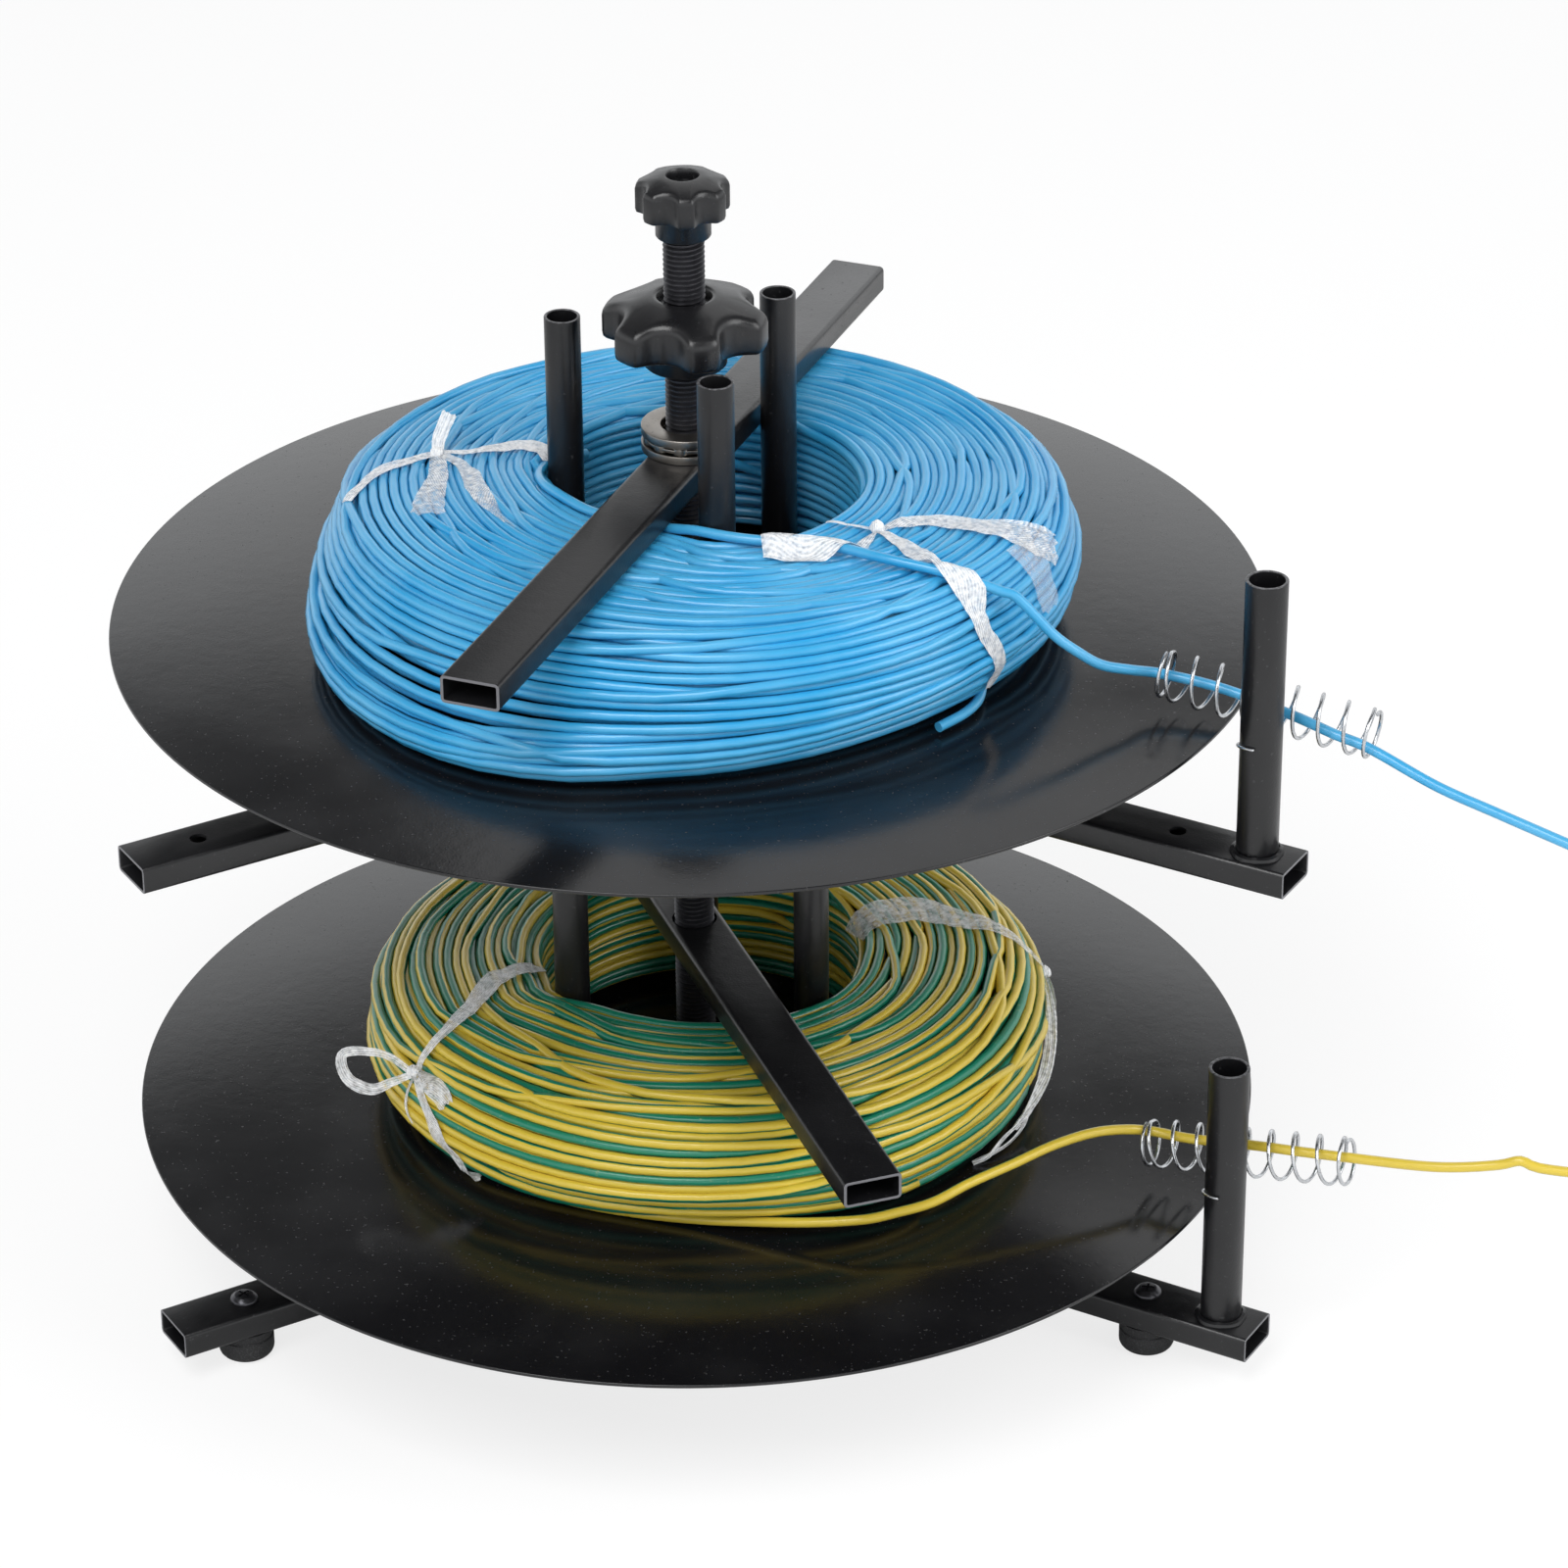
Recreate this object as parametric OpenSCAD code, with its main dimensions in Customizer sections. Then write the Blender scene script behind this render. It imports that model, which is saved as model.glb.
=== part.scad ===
// Two-tier pay-off stand for coils of electrical wire.
// Two bare discs turn on thrust bearings round one fixed threaded spindle. Each carries a coil on three
// core posts under a press bar, and the wire leaves through a spring tied to a post on the frame.
// Millimetres. The origin is on the floor under the spindle, and +Z points up the spindle.

/* [Discs] */
// Diameter of both discs
disc_d = 450; // [380:10:480]
// Thickness of the disc sheet
disc_t = 1.5; // [1:0.5:3]
// Height of the lower disc's top above the floor
lower_z = 66; // [66:1:80]
// Height from the lower disc's top to the upper one's
tier_gap = 211; // [211:1:260]

/* [Frame] */
// Width of the rectangular tube of the arms and press bars
tube_w = 23; // [20:1:30]
// Height of that tube
tube_h = 11; // [10:1:13]
// Wall of that tube
tube_wall = 1.2; // [1:0.1:2]
// Distance from the spindle to the end of a plain base arm
arm_reach = 237; // [230:1:260]
// Height of a rubber foot
foot_h = 13; // [13:1:15]
// Radius of the circle of the feet
foot_circle_r = 206; // [180:1:215]
// Height of a guide post above its arm
guide_post_h = 114; // [90:1:140]

/* [Turntables] */
// Height of the core posts above their disc
core_post_h = 118; // [100:1:130]
// Circle radius of the upper core posts
upper_core_r = 49; // [49:1:50]
// Circle radius of the lower core posts
lower_core_r = 55; // [54:1:56]

/* [Coils] */
// Diameter of the insulated wire
wire_d = 4; // [3:0.5:4]
// Height of a coil
coil_h = 57.5; // [56.5:0.5:58]
// Outer radius of the upper coil
upper_coil_r = 146.5; // [140:0.5:146.5]
// Outer radius of the lower coil
lower_coil_r = 138; // [136:0.5:138]
// Loops drawn on the outside of each coil
coil_loops = 12; // [8:1:12]

/* [Clamping] */
// Length of a press bar
bar_len = 392; // [360:1:400]
// Diameter of a star knob over its lobes
star_d = 64; // [56:1:70]
// Diameter of the small top knob over its lobes
top_knob_d = 36; // [32:1:40]

/* [Hidden] */
$fn = 96;

// Finishes.
black_paint = "#1b1b1d";
black_plastic = "#141415";
rubber_black = "#222224";
bright_steel = "#b9bcc0";
blue_pvc = "#3fa3e6";
earth_pvc = "#d9c53f";
earth_core = "#4f7f3a";
blue_core = "#1f5f9c";
tie_white = "#e9edf0";

// Fits and small overshoots.
run_gap = 0.06;
weld_gap = 0.05;
cut = 1;

// Heights, from the floor up.
arm_top = foot_h + tube_h;
upper_z = lower_z + tier_gap;
stack_h = lower_z - arm_top;
upper_arm_top = upper_z - stack_h;

// Spindle, nuts and thrust bearings.
rod_r = 8;
rod_low = 4;
rod_high = upper_z + 173;
nut_af = 24;
nut_h = 13;
lock_nut_h = 8;
bearing_r = 17.5;
bearing_bore_r = 10;
bearing_h = 10;
race_h = 3.4;
ball_r = 2.8;
ball_gap = 0.35;
ball_circle_r = 13.75;
balls = 11;
cage_h = 1.6;
hub_r = 20;
disc_hub_r = 30;

// Arms: azimuths, and the reach of the arms that carry the guide posts.
arm_left_az = 210;
arm_rear_az = 90;
arm_guide_az = 330;
lower_guide_r = 238;
upper_guide_r = 246;
guide_end = 16;
upper_arm_reach = 241;
upper_hole_r = 213;
screw_r = 3;
screw_hole_r = 3.1;
spare_hole_r = 3.3;
screw_grip = 4.5;
foot_r = 11;
foot_round = 3.5;

// Guide posts and springs.
guide_post_r = 8;
guide_post_wall = 1.3;
spring_wire = 1.5;
spring_r = 10 - spring_wire / 2;
spring_curls = 8;
spring_az = -23;
spring_off = 18.8;
curl_rings = 8;
// Each spring: its middle's height above its disc, its rise along its length, and its two ends.
lower_spring = [23.2, 0.13, -39, 40];
upper_spring = [10.1, -0.115, -46, 34];
tie_wire_r = 0.6;
tie_wire_from = 95;
tie_wire_over = 165;
lower_tie_wire_h = 14;
upper_tie_wire_h = 2;

// Core posts.
core_post_r = 7;
core_post_wall = 1.2;
upper_core_az = 44;
lower_core_az = 88;

// Coils. Both lie a little to the right of the spindle.
coil_x = 5;
upper_coil_bore = 61.2;
lower_coil_bore = 67;
inner_round = 12;
outer_round = 28;
// Rounding of each coil's rim at the disc: the upper coil's lowest turns have slumped.
upper_low_round = 12;
lower_low_round = 28;
loop_rings = 24;
wire_r = wire_d / 2;
// A loop drawn with loop_rings chords sags this far inside its circle.
loop_sag = upper_coil_r * (1 - cos(180 / loop_rings));
bare_inset = wire_d + loop_sag + 0.1;
// The outer layer starts this many degrees down the lower rounding and ends this far over the flat top.
wound_below = 50;
wound_over = 31;

// Tapes round the coils: where along the section each starts and ends (0 to 1 is the bore's edge,
// 1 to 2 the flat top, 2 to 3 the rim), its azimuths there, its width, its height off the coil,
// and where its knot lies.
lower_left_tape = [0.2, 2.75, 189, 219, 10, 0.5, 2.45];
lower_right_tape = [0.35, 2.9, 17, 4, 16, 0.5, 1.67];
upper_left_tape = [0.3, 2.2, 164, 173, 10, 0.5, 1.52];
upper_right_tape = [1.1, 2.85, -44.7, -46.7, 12, 5.4, 1.33];
tape_t = 1;
tape_steps = 24;
knot_h = 5;
knot_reach = 0.2;

// Press bars and knobs.
upper_bar_az = 248.6;
lower_bar_az = 289.4;
bar_shift = 9.5;
bar_hole_r = 9;
upper_bar_z = upper_z + coil_h + 0.5;
lower_bar_z = lower_z + coil_h + 2.5;
clamp_z = upper_bar_z + tube_h;
upper_star_z = upper_z + 104;
lower_star_z = lower_z + 102;
top_knob_z = upper_z + 157;
star_h = 29.5;
star_hub_r = 16;
star_body_z = 9;
star_dome_r = 70;
star_insert_h = 24;
star_turn = 44;
top_knob_h = 25;
top_head_z = 9;
top_dome_r = 40;
top_insert_h = 16;
top_knob_turn = 17.5;
insert_r = 10.4;
top_insert_r = 9.2;

// Where the two wires run from coil to cut end; heights count from their disc's top.
// Most points of these lists were worked out by a separate script and then adjusted by hand.
blue_route = [
    [123.5, -93, 50], [136.5, -97, 37], [146, -97.5, 29.5], [155, -95.5, 23], [166, -91, 18.5],
    [179, -85.5, 13.7], [201, -93, 11.2], [226, -105, 6.2], [241, -114.8, 3.3], [254, -121.5, 0.5],
    [277.5, -134, -8.5], [299.5, -143.5, -15], [324, -155, -21.5], [337, -161.5, -24.5]
];
yellow_route = [
    [65.5, -133, 13], [78.5, -130.5, 14.5], [92.5, -126.5, 16.5], [107, -118.5, 20], [124, -109, 22.5],
    [140, -100.5, 25.5], [155.5, -94, 27], [168.5, -90, 26], [179.5, -87.5, 23.5], [194.5, -94, 24],
    [218.5, -104, 27], [233.5, -110.5, 28.5], [252.5, -118.5, 30.5], [278.5, -130.2, 34],
    [293.5, -135.5, 36.5], [308.5, -139.5, 40], [316.5, -141.5, 43], [323.5, -143.5, 41],
    [344.5, -147.5, 40]
];
// The blue wire's way from the last loop across the coil to its rim, and its cut start.
blue_crossing = [
    [19, -76, 58.3], [31, -67.5, 60], [41, -66.5, 60.5], [50, -69, 60.8], [59, -72.6, 61],
    [76.5, -82, 60.7], [94.5, -88.5, 59.2], [108.5, -91.7, 55.8], [117, -92.1, 52.7], [120.9, -92.5, 51.2]
];
blue_stub = [[94.5, -108, 3.6], [103, -99.8, 3.8]];
// The yellow wire's way from the last loop to the foot of its coil.
yellow_tail = [
    [1.7, -132, 6.3], [22.6, -135, 6], [44.5, -135.8, 8], [60.6, -133.5, 12.1], [65.1, -132.8, 13]
];

// --- Points and tubes ---

function unit(v) = v / norm(v);
function heading(p, i) = unit(p[min(i + 1, len(p) - 1)] - p[max(i - 1, 0)]);

// Rings of a tube of radius r along points p; ref is never parallel to the path.
function tube_rings(p, r, sides, ref) = [
    for (i = [0:len(p) - 1])
        let (t = heading(p, i), side = unit(cross(t, ref)), up = cross(side, t))
            for (k = [0:sides - 1]) p[i] + r * (cos(360 * k / sides) * side + sin(360 * k / sides) * up)
];

// A closed skin over rings of sides points each.
module skin(points, sides) {
    rings = len(points) / sides;
    last = (rings - 1) * sides;
    walls = [
        for (i = [0:rings - 2], k = [0:sides - 1])
            let (a = i * sides + k, b = i * sides + (k + 1) % sides)
                each [[a, b, b + sides], [a, b + sides, a + sides]]
    ];
    caps = [for (k = [1:sides - 2]) each [[0, k + 1, k], [last, last + k, last + k + 1]]];
    polyhedron(points = points, faces = concat(walls, caps));
}

module tube(p, r, sides, ref = [0, 0, 1]) {
    skin(tube_rings(p, r, sides, ref), sides);
}

// A smooth curve through route points, with a ring about every step millimetres.
function bend(a, b, c, d, u) =
    0.5 * (2 * b + (c - a) * u + (2 * a - 5 * b + 4 * c - d) * u * u
    + (3 * b - 3 * c + d - a) * u * u * u);
function smooth(p, step) = [
    for (i = [0:len(p) - 2])
        let (
            a = i == 0 ? 2 * p[0] - p[1] : p[i - 1],
            d = i + 2 > len(p) - 1 ? 2 * p[i + 1] - p[i] : p[i + 2],
            n = max(1, round(norm(p[i + 1] - p[i]) / step))
        )
            for (k = [0:n - 1]) bend(a, p[i], p[i + 1], d, k / n),
    p[len(p) - 1]
];
function lifted(p, z) = [for (q = p) [q[0], q[1], q[2] + z]];

// Least distance between parts of a path more than skip steps apart, less the tube's width.
function to_segment(q, a, b) =
    let (u = max(0, min(1, (q - a) * (b - a) / ((b - a) * (b - a)))))
        norm(q - a - u * (b - a));
function least_gap(p, width, skip) = min([
    for (i = [0:len(p) - 1])
        for (j = [i + skip:1:len(p) - 2]) to_segment(p[i], p[j], p[j + 1])
]) - width;

// --- Frame ---

// One arm of rectangular tube along +X, coped to the hub, with a foot hole through both walls.
module arm(reach, hole_at, hole_r) {
    difference() {
        translate([0, -tube_w / 2, 0]) cube([reach, tube_w, tube_h]);
        translate([-cut, tube_wall - tube_w / 2, tube_wall])
            cube([reach + 2 * cut, tube_w - 2 * tube_wall, tube_h - 2 * tube_wall]);
        translate([0, 0, -cut]) cylinder(h = tube_h + 2 * cut, r = hub_r + weld_gap);
        translate([hole_at, 0, -cut]) cylinder(h = tube_h + 2 * cut, r = hole_r, $fn = 32);
    }
}

module base_arm(az, reach) {
    color(black_paint) translate([0, 0, foot_h]) rotate(az) arm(reach, foot_circle_r, screw_hole_r);
}

// The upper arms have no feet: their holes stay empty.
module upper_arm(az, reach) {
    color(black_paint) translate([0, 0, upper_arm_top - tube_h]) rotate(az)
        arm(reach, upper_hole_r, spare_hole_r);
}

// The round boss that the arms are welded to.
module hub(z) {
    color(black_paint) translate([0, 0, z]) difference() {
        cylinder(h = tube_h, r = hub_r);
        translate([0, 0, -cut]) cylinder(h = tube_h + 2 * cut, r = rod_r + run_gap);
    }
}

module foot(az) {
    color(rubber_black) rotate(az) translate([foot_circle_r, 0, 0]) difference() {
        rotate_extrude() union() {
            translate([0, foot_round]) square([foot_r, foot_h - foot_round]);
            square([foot_r - foot_round, foot_h]);
            intersection() {
                translate([foot_r - foot_round, foot_round]) circle(r = foot_round, $fn = 48);
                square([foot_r, foot_h]);
            }
        }
        translate([0, 0, foot_h - screw_grip]) cylinder(h = foot_h, r = screw_r + run_gap, $fn = 32);
    }
}

module foot_screws() {
    head_h = 3.2;
    shank_low = foot_h - screw_grip + 0.3;
    color(bright_steel) for (az = [arm_left_az, arm_rear_az, arm_guide_az])
        rotate(az) translate([foot_circle_r, 0, 0]) {
            translate([0, 0, shank_low]) cylinder(h = arm_top + 1 - shank_low, r = screw_r, $fn = 32);
            translate([0, 0, arm_top]) intersection() {
                cylinder(h = head_h, r = 5.5, $fn = 48);
                translate([0, 0, -5]) sphere(r = 8.2, $fn = 48);
            }
        }
}

module spindle() {
    color(bright_steel) translate([0, 0, rod_low]) cylinder(h = rod_high - rod_low, r = rod_r);
}

module nut(z, h) {
    color(bright_steel) translate([0, 0, z]) difference() {
        rotate(30) cylinder(h = h, r = nut_af / 2 / cos(30), $fn = 6);
        translate([0, 0, -cut]) cylinder(h = h + 2 * cut, r = rod_r + run_gap);
    }
}

// --- Thrust bearings, from their underside up ---

module race(groove_z) {
    difference() {
        cylinder(h = race_h, r = bearing_r);
        translate([0, 0, -cut]) cylinder(h = race_h + 2 * cut, r = bearing_bore_r);
        translate([0, 0, groove_z]) rotate_extrude()
            translate([ball_circle_r, 0]) circle(r = ball_r + ball_gap, $fn = 48);
    }
}

module bottom_race(z) {
    color(bright_steel) translate([0, 0, z]) race(bearing_h / 2);
}

module top_race(z) {
    color(bright_steel) translate([0, 0, z + bearing_h - race_h]) race(race_h - bearing_h / 2);
}

module bearing_cage(z) {
    color(bright_steel) translate([0, 0, z + bearing_h / 2]) {
        difference() {
            translate([0, 0, -cage_h / 2]) cylinder(h = cage_h, r = bearing_r - 1);
            translate([0, 0, -cage_h]) cylinder(h = 2 * cage_h, r = bearing_bore_r + 1);
        }
        for (i = [0:balls - 1])
            rotate(360 * i / balls) translate([ball_circle_r, 0, 0]) sphere(r = ball_r, $fn = 32);
    }
}

// --- Guide posts, springs and their tie wires ---

function guide_at(r) = [r * cos(arm_guide_az), r * sin(arm_guide_az), 0];
// The springs lie behind their posts, seen from the front of the stand.
function spring_mid(r, z) =
    guide_at(r) + spring_off * [-sin(arm_guide_az), cos(arm_guide_az), 0] + [0, 0, z];

// A point of the spring's wire, at turn u, on an axis through mid that falls by slope.
function spring_point(mid, slope, first, last, u) =
    let (
        along = unit([cos(spring_az), sin(spring_az), slope]),
        side = unit(cross(along, [0, 0, 1])),
        up = cross(side, along),
        pull = u / spring_curls,
        s = first + (last - first) * pull
    )
        mid + s * along + spring_r * (cos(360 * u) * up + sin(360 * u) * side);

module guide_post(r, z) {
    color(black_paint) translate(guide_at(r) + [0, 0, z]) difference() {
        cylinder(h = guide_post_h, r = guide_post_r, $fn = 64);
        translate([0, 0, -cut])
            cylinder(h = guide_post_h + 2 * cut, r = guide_post_r - guide_post_wall, $fn = 64);
    }
}

module guide_spring(r, z, spring) {
    mid = spring_mid(r, z + spring[0]);
    p = [
        for (i = [0:spring_curls * curl_rings])
            spring_point(mid, spring[1], spring[2], spring[3], i / curl_rings)
    ];
    echo(spring_least_gap = least_gap(p, spring_wire, curl_rings - 2));
    color(bright_steel) tube(p, spring_wire / 2, 6, [cos(spring_az), sin(spring_az), spring[1]]);
}

// A wire hooked round the post's left side, from the spring behind it to the front.
module tie_wire(r, z) {
    hook_r = guide_post_r + tie_wire_r + 0.1;
    color(bright_steel) translate(guide_at(r) + [0, 0, z]) rotate(arm_guide_az + tie_wire_from)
        rotate_extrude(angle = tie_wire_over) translate([hook_r, 0])
            circle(r = tie_wire_r, $fn = 24);
}

// --- Turntables ---

module disc(z) {
    color(black_paint) translate([0, 0, z - disc_t]) difference() {
        cylinder(h = disc_t, d = disc_d, $fn = 180);
        translate([0, 0, -cut]) cylinder(h = disc_t + 2 * cut, r = rod_r + 1);
    }
}

// The turned boss under a disc: it runs on the spindle and sits on the bearing.
module disc_hub(z) {
    h = stack_h - nut_h - bearing_h - disc_t;
    color(black_paint) translate([0, 0, z - disc_t - h]) difference() {
        union() {
            cylinder(h = h, r = bearing_r + 2);
            translate([0, 0, h - 4]) cylinder(h = 4, r = disc_hub_r);
        }
        translate([0, 0, -cut]) cylinder(h = h + 2 * cut, r = rod_r + run_gap);
    }
}

module core_post(r, az, z) {
    color(black_paint) rotate(az) translate([r, 0, z]) difference() {
        cylinder(h = core_post_h, r = core_post_r, $fn = 64);
        translate([0, 0, -cut])
            cylinder(h = core_post_h + 2 * cut, r = core_post_r - core_post_wall, $fn = 64);
    }
}

// --- Coils ---

// Half section of a coil, grown outward by grow: flat below, with low for the rounding beside the disc.
module coil_section(bore, rim, low, grow) {
    in = inner_round + grow;
    out = outer_round + grow;
    bore_c = bore + inner_round;
    rim_c = rim - outer_round;
    union() {
        translate([bore_c, -grow]) square([rim_c - bore_c, coil_h + 2 * grow]);
        translate([bore_c, -grow]) square([rim - low - bore_c, coil_h - outer_round + grow]);
        translate([bore_c - in, inner_round]) square([in, coil_h - 2 * inner_round]);
        translate([bore_c, low]) square([rim + grow - bore_c, coil_h - outer_round - low]);
        for (z = [inner_round, coil_h - inner_round]) translate([bore_c, z]) circle(r = in);
        translate([rim - low, low]) circle(r = low + grow);
        translate([rim_c, coil_h - outer_round]) circle(r = out);
    }
}

// The closed body of a coil's inner layers: lower by a wire where the outer layer winds over it.
module coil_core(bore, rim, low, z, shade) {
    plain_to = bore + inner_round - 2;
    color(shade) translate([coil_x, 0, z]) rotate_extrude($fn = 120) intersection() {
        translate([0, 0]) square([rim, coil_h]);
        union() {
            coil_section(bore, rim, low, -bare_inset);
            intersection() {
                coil_section(bore, rim, low, 0);
                square([plain_to, coil_h]);
            }
            translate([plain_to - 1, 0]) square([rim - outer_round - plain_to + 1, inner_round]);
        }
    }
}

// How far along the section the lower rounding, the wall and the rim's rounding end.
function low_way(low) = wound_below * PI / 180 * (low - wire_r);
function wall_way(low) = low_way(low) + coil_h - outer_round - low;
function rim_way(low) = wall_way(low) + PI / 2 * (outer_round - wire_r);

// Centre of the outer layer's wire at way s from the rim's underside, up the rim and inward.
function layer_point(rim, low, s) =
    let (
        r = outer_round - wire_r,
        low_r = low - wire_r,
        rim_c = rim - outer_round,
        low_turn = s / low_r * 180 / PI - wound_below,
        turn = (s - wall_way(low)) / r * 180 / PI
    )
        s < low_way(low) ? [rim - low + low_r * cos(low_turn), low + low_r * sin(low_turn)]
        : s < wall_way(low) ? [rim - wire_r, low + s - low_way(low)]
        : s < rim_way(low) ? [rim_c + r * cos(turn), coil_h - outer_round + r * sin(turn)]
        : [rim_c - (s - rim_way(low)), coil_h - wire_r];

// The outer layer as a spiral: from_az is where it starts; dir is 1 upward and inward, -1 back.
function winding(rim, low, from_az, turns, dir) = [
    for (i = [0:turns * loop_rings])
        let (
            u = i / (coil_loops * loop_rings),
            q = layer_point(rim, low, (rim_way(low) + wound_over) * (dir > 0 ? u : 1 - u)),
            az = from_az + 360 * i / loop_rings
        )
            [coil_x + q[0] * cos(az), q[0] * sin(az), q[1]]
];

// From its cut start near the disc the blue wire winds up and inward, then crosses out to the rim.
function blue_path() =
    concat(
        blue_stub,
        winding(upper_coil_r, upper_low_round, -40, coil_loops - 3 / loop_rings, 1),
        blue_crossing
    );
// The earth wire winds outward and down, and leaves low at the front.
function yellow_path() =
    concat(winding(lower_coil_r, lower_low_round, -105, coil_loops, -1), yellow_tail);

module coil_winding(p, z, shade) {
    echo(winding_least_gap = least_gap(p, wire_d, 4));
    color(shade) tube(lifted(p, z), wire_r, 6);
}

// Point of a coil's section at way w, off its surface by off.
function over_coil(bore, rim, off, w) =
    let (
        edge_r = w < 1 ? inner_round + off : outer_round + off,
        bore_c = bore + inner_round,
        rim_c = rim - outer_round,
        a = w < 1 ? 180 - 90 * w : 270 - 90 * w
    )
        w < 1 ? [bore_c + edge_r * cos(a), coil_h - inner_round + edge_r * sin(a)]
        : w < 2 ? [bore_c + (rim_c - bore_c) * (w - 1), coil_h + off]
        : [rim_c + edge_r * cos(a), coil_h - outer_round + edge_r * sin(a)];

// A tape over the coil: three points wide, and thicker at its knot.
module tape(bore, rim, z, tie) {
    points = [
        for (i = [0:tape_steps])
            let (
                w = tie[0] + (tie[1] - tie[0]) * i / tape_steps,
                az = tie[2] + (tie[3] - tie[2]) * i / tape_steps,
                knot = knot_h * max(0, 1 - abs(w - tie[6]) / knot_reach),
                low = over_coil(bore, rim, tie[5], w),
                high = over_coil(bore, rim, tie[5] + tape_t + knot, w),
                half = tie[4] / 2 / low[0] * 180 / PI
            )
                for (k = [0:5])
                    let (q = k < 3 ? high : low, turn = az + half * (k < 3 ? k - 1 : 4 - k))
                        [q[0] * cos(turn), q[0] * sin(turn), q[1]]
    ];
    color(tie_white) translate([coil_x, 0, z]) skin(points, 6);
}

// --- Press bars and knobs ---

module press_bar(az, z) {
    color(black_paint) translate([0, 0, z]) rotate(az) difference() {
        translate([bar_shift - bar_len / 2, -tube_w / 2, 0]) cube([bar_len, tube_w, tube_h]);
        translate([bar_shift - bar_len / 2 - cut, tube_wall - tube_w / 2, tube_wall])
            cube([bar_len + 2 * cut, tube_w - 2 * tube_wall, tube_h - 2 * tube_wall]);
        translate([0, 0, -cut]) cylinder(h = tube_h + 2 * cut, r = bar_hole_r);
    }
}

// The threaded bush inside a knob.
module knob_insert(z, h, r) {
    color(bright_steel) translate([0, 0, z]) difference() {
        cylinder(h = h, r = r);
        translate([0, 0, -cut]) cylinder(h = h + 2 * cut, r = rod_r + run_gap);
    }
}

// Plan of a knob: lobes between round scallops.
module lobed(d, lobes, scallop, reach) {
    difference() {
        circle(d = d);
        for (i = [0:lobes - 1]) rotate(360 * (i + 0.5) / lobes) translate([reach, 0]) circle(r = scallop);
    }
}

module star_knob(z) {
    color(black_plastic) translate([0, 0, z]) difference() {
        union() {
            cylinder(h = star_body_z + 2, r = star_hub_r);
            intersection() {
                translate([0, 0, star_body_z]) linear_extrude(star_h - star_body_z)
                    rotate(star_turn) lobed(star_d, 6, 11, star_d / 2 + 3.4);
                translate([0, 0, star_h - star_dome_r]) sphere(r = star_dome_r, $fn = 96);
            }
        }
        translate([0, 0, -cut]) cylinder(h = star_h + 2 * cut, r = insert_r + run_gap);
    }
}

module top_knob(z) {
    color(black_plastic) translate([0, 0, z]) difference() {
        union() {
            cylinder(h = top_head_z + 1, r = top_insert_r + 1.4);
            intersection() {
                translate([0, 0, top_head_z]) linear_extrude(top_knob_h - top_head_z)
                    rotate(top_knob_turn) lobed(top_knob_d, 7, 6.5, top_knob_d / 2 + 3.5);
                translate([0, 0, top_knob_h - top_dome_r]) sphere(r = top_dome_r, $fn = 96);
            }
        }
        translate([0, 0, -cut]) cylinder(h = top_insert_h + 0.4 + cut, r = top_insert_r + run_gap);
        translate([0, 0, top_knob_h - 5]) cylinder(h = 5 + cut, r = 6, $fn = 48);
    }
}

// --- What is drawn ---

base_arm(arm_left_az, arm_reach);  // base_arm_left
base_arm(arm_rear_az, arm_reach);  // base_arm_rear
base_arm(arm_guide_az, lower_guide_r + guide_end);  // base_arm_guide
hub(foot_h);  // base_hub
foot(arm_left_az);  // foot_left
foot(arm_rear_az);  // foot_rear
foot(arm_guide_az);  // foot_guide
foot_screws();
spindle();
nut(foot_h - lock_nut_h, lock_nut_h);  // base_lock_nut
nut(arm_top, nut_h);  // lower_stack_nut
bottom_race(arm_top + nut_h);  // lower_bearing_bottom_race

upper_arm(arm_left_az, upper_arm_reach);  // upper_arm_left
upper_arm(arm_rear_az, upper_arm_reach);  // upper_arm_rear
upper_arm(arm_guide_az, upper_guide_r + guide_end);  // upper_arm_guide
hub(upper_arm_top - tube_h);  // upper_hub
nut(upper_arm_top - tube_h - nut_h, nut_h);  // upper_lock_nut
nut(upper_arm_top, nut_h);  // upper_stack_nut
bottom_race(upper_arm_top + nut_h);  // upper_bearing_bottom_race

guide_post(lower_guide_r, arm_top);  // lower_guide_post
guide_spring(lower_guide_r, lower_z, lower_spring);  // lower_guide_spring
tie_wire(lower_guide_r, lower_z + lower_tie_wire_h);  // lower_tie_wire
color(earth_pvc) tube(lifted(smooth(yellow_route, 10), lower_z), wire_r, 8);  // yellow_payoff_wire
guide_post(upper_guide_r, upper_arm_top);  // upper_guide_post
guide_spring(upper_guide_r, upper_z, upper_spring);  // upper_guide_spring
tie_wire(upper_guide_r, upper_z + upper_tie_wire_h);  // upper_tie_wire
color(blue_pvc) tube(lifted(smooth(blue_route, 10), upper_z), wire_r, 8);  // blue_payoff_wire

bearing_cage(arm_top + nut_h);  // lower_bearing_cage
top_race(arm_top + nut_h);  // lower_bearing_top_race
disc_hub(lower_z);  // lower_disc_hub
disc(lower_z);  // lower_disc
core_post(lower_core_r, lower_core_az, lower_z);  // lower_core_post_a
core_post(lower_core_r, lower_core_az + 120, lower_z);  // lower_core_post_b
core_post(lower_core_r, lower_core_az + 240, lower_z);  // lower_core_post_c
coil_core(lower_coil_bore, lower_coil_r, lower_low_round, lower_z, earth_core);  // lower_coil_core
coil_winding(yellow_path(), lower_z, earth_pvc);  // lower_coil_winding
tape(lower_coil_bore, lower_coil_r, lower_z, lower_left_tape);  // lower_tie_left
tape(lower_coil_bore, lower_coil_r, lower_z, lower_right_tape);  // lower_tie_right

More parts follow.
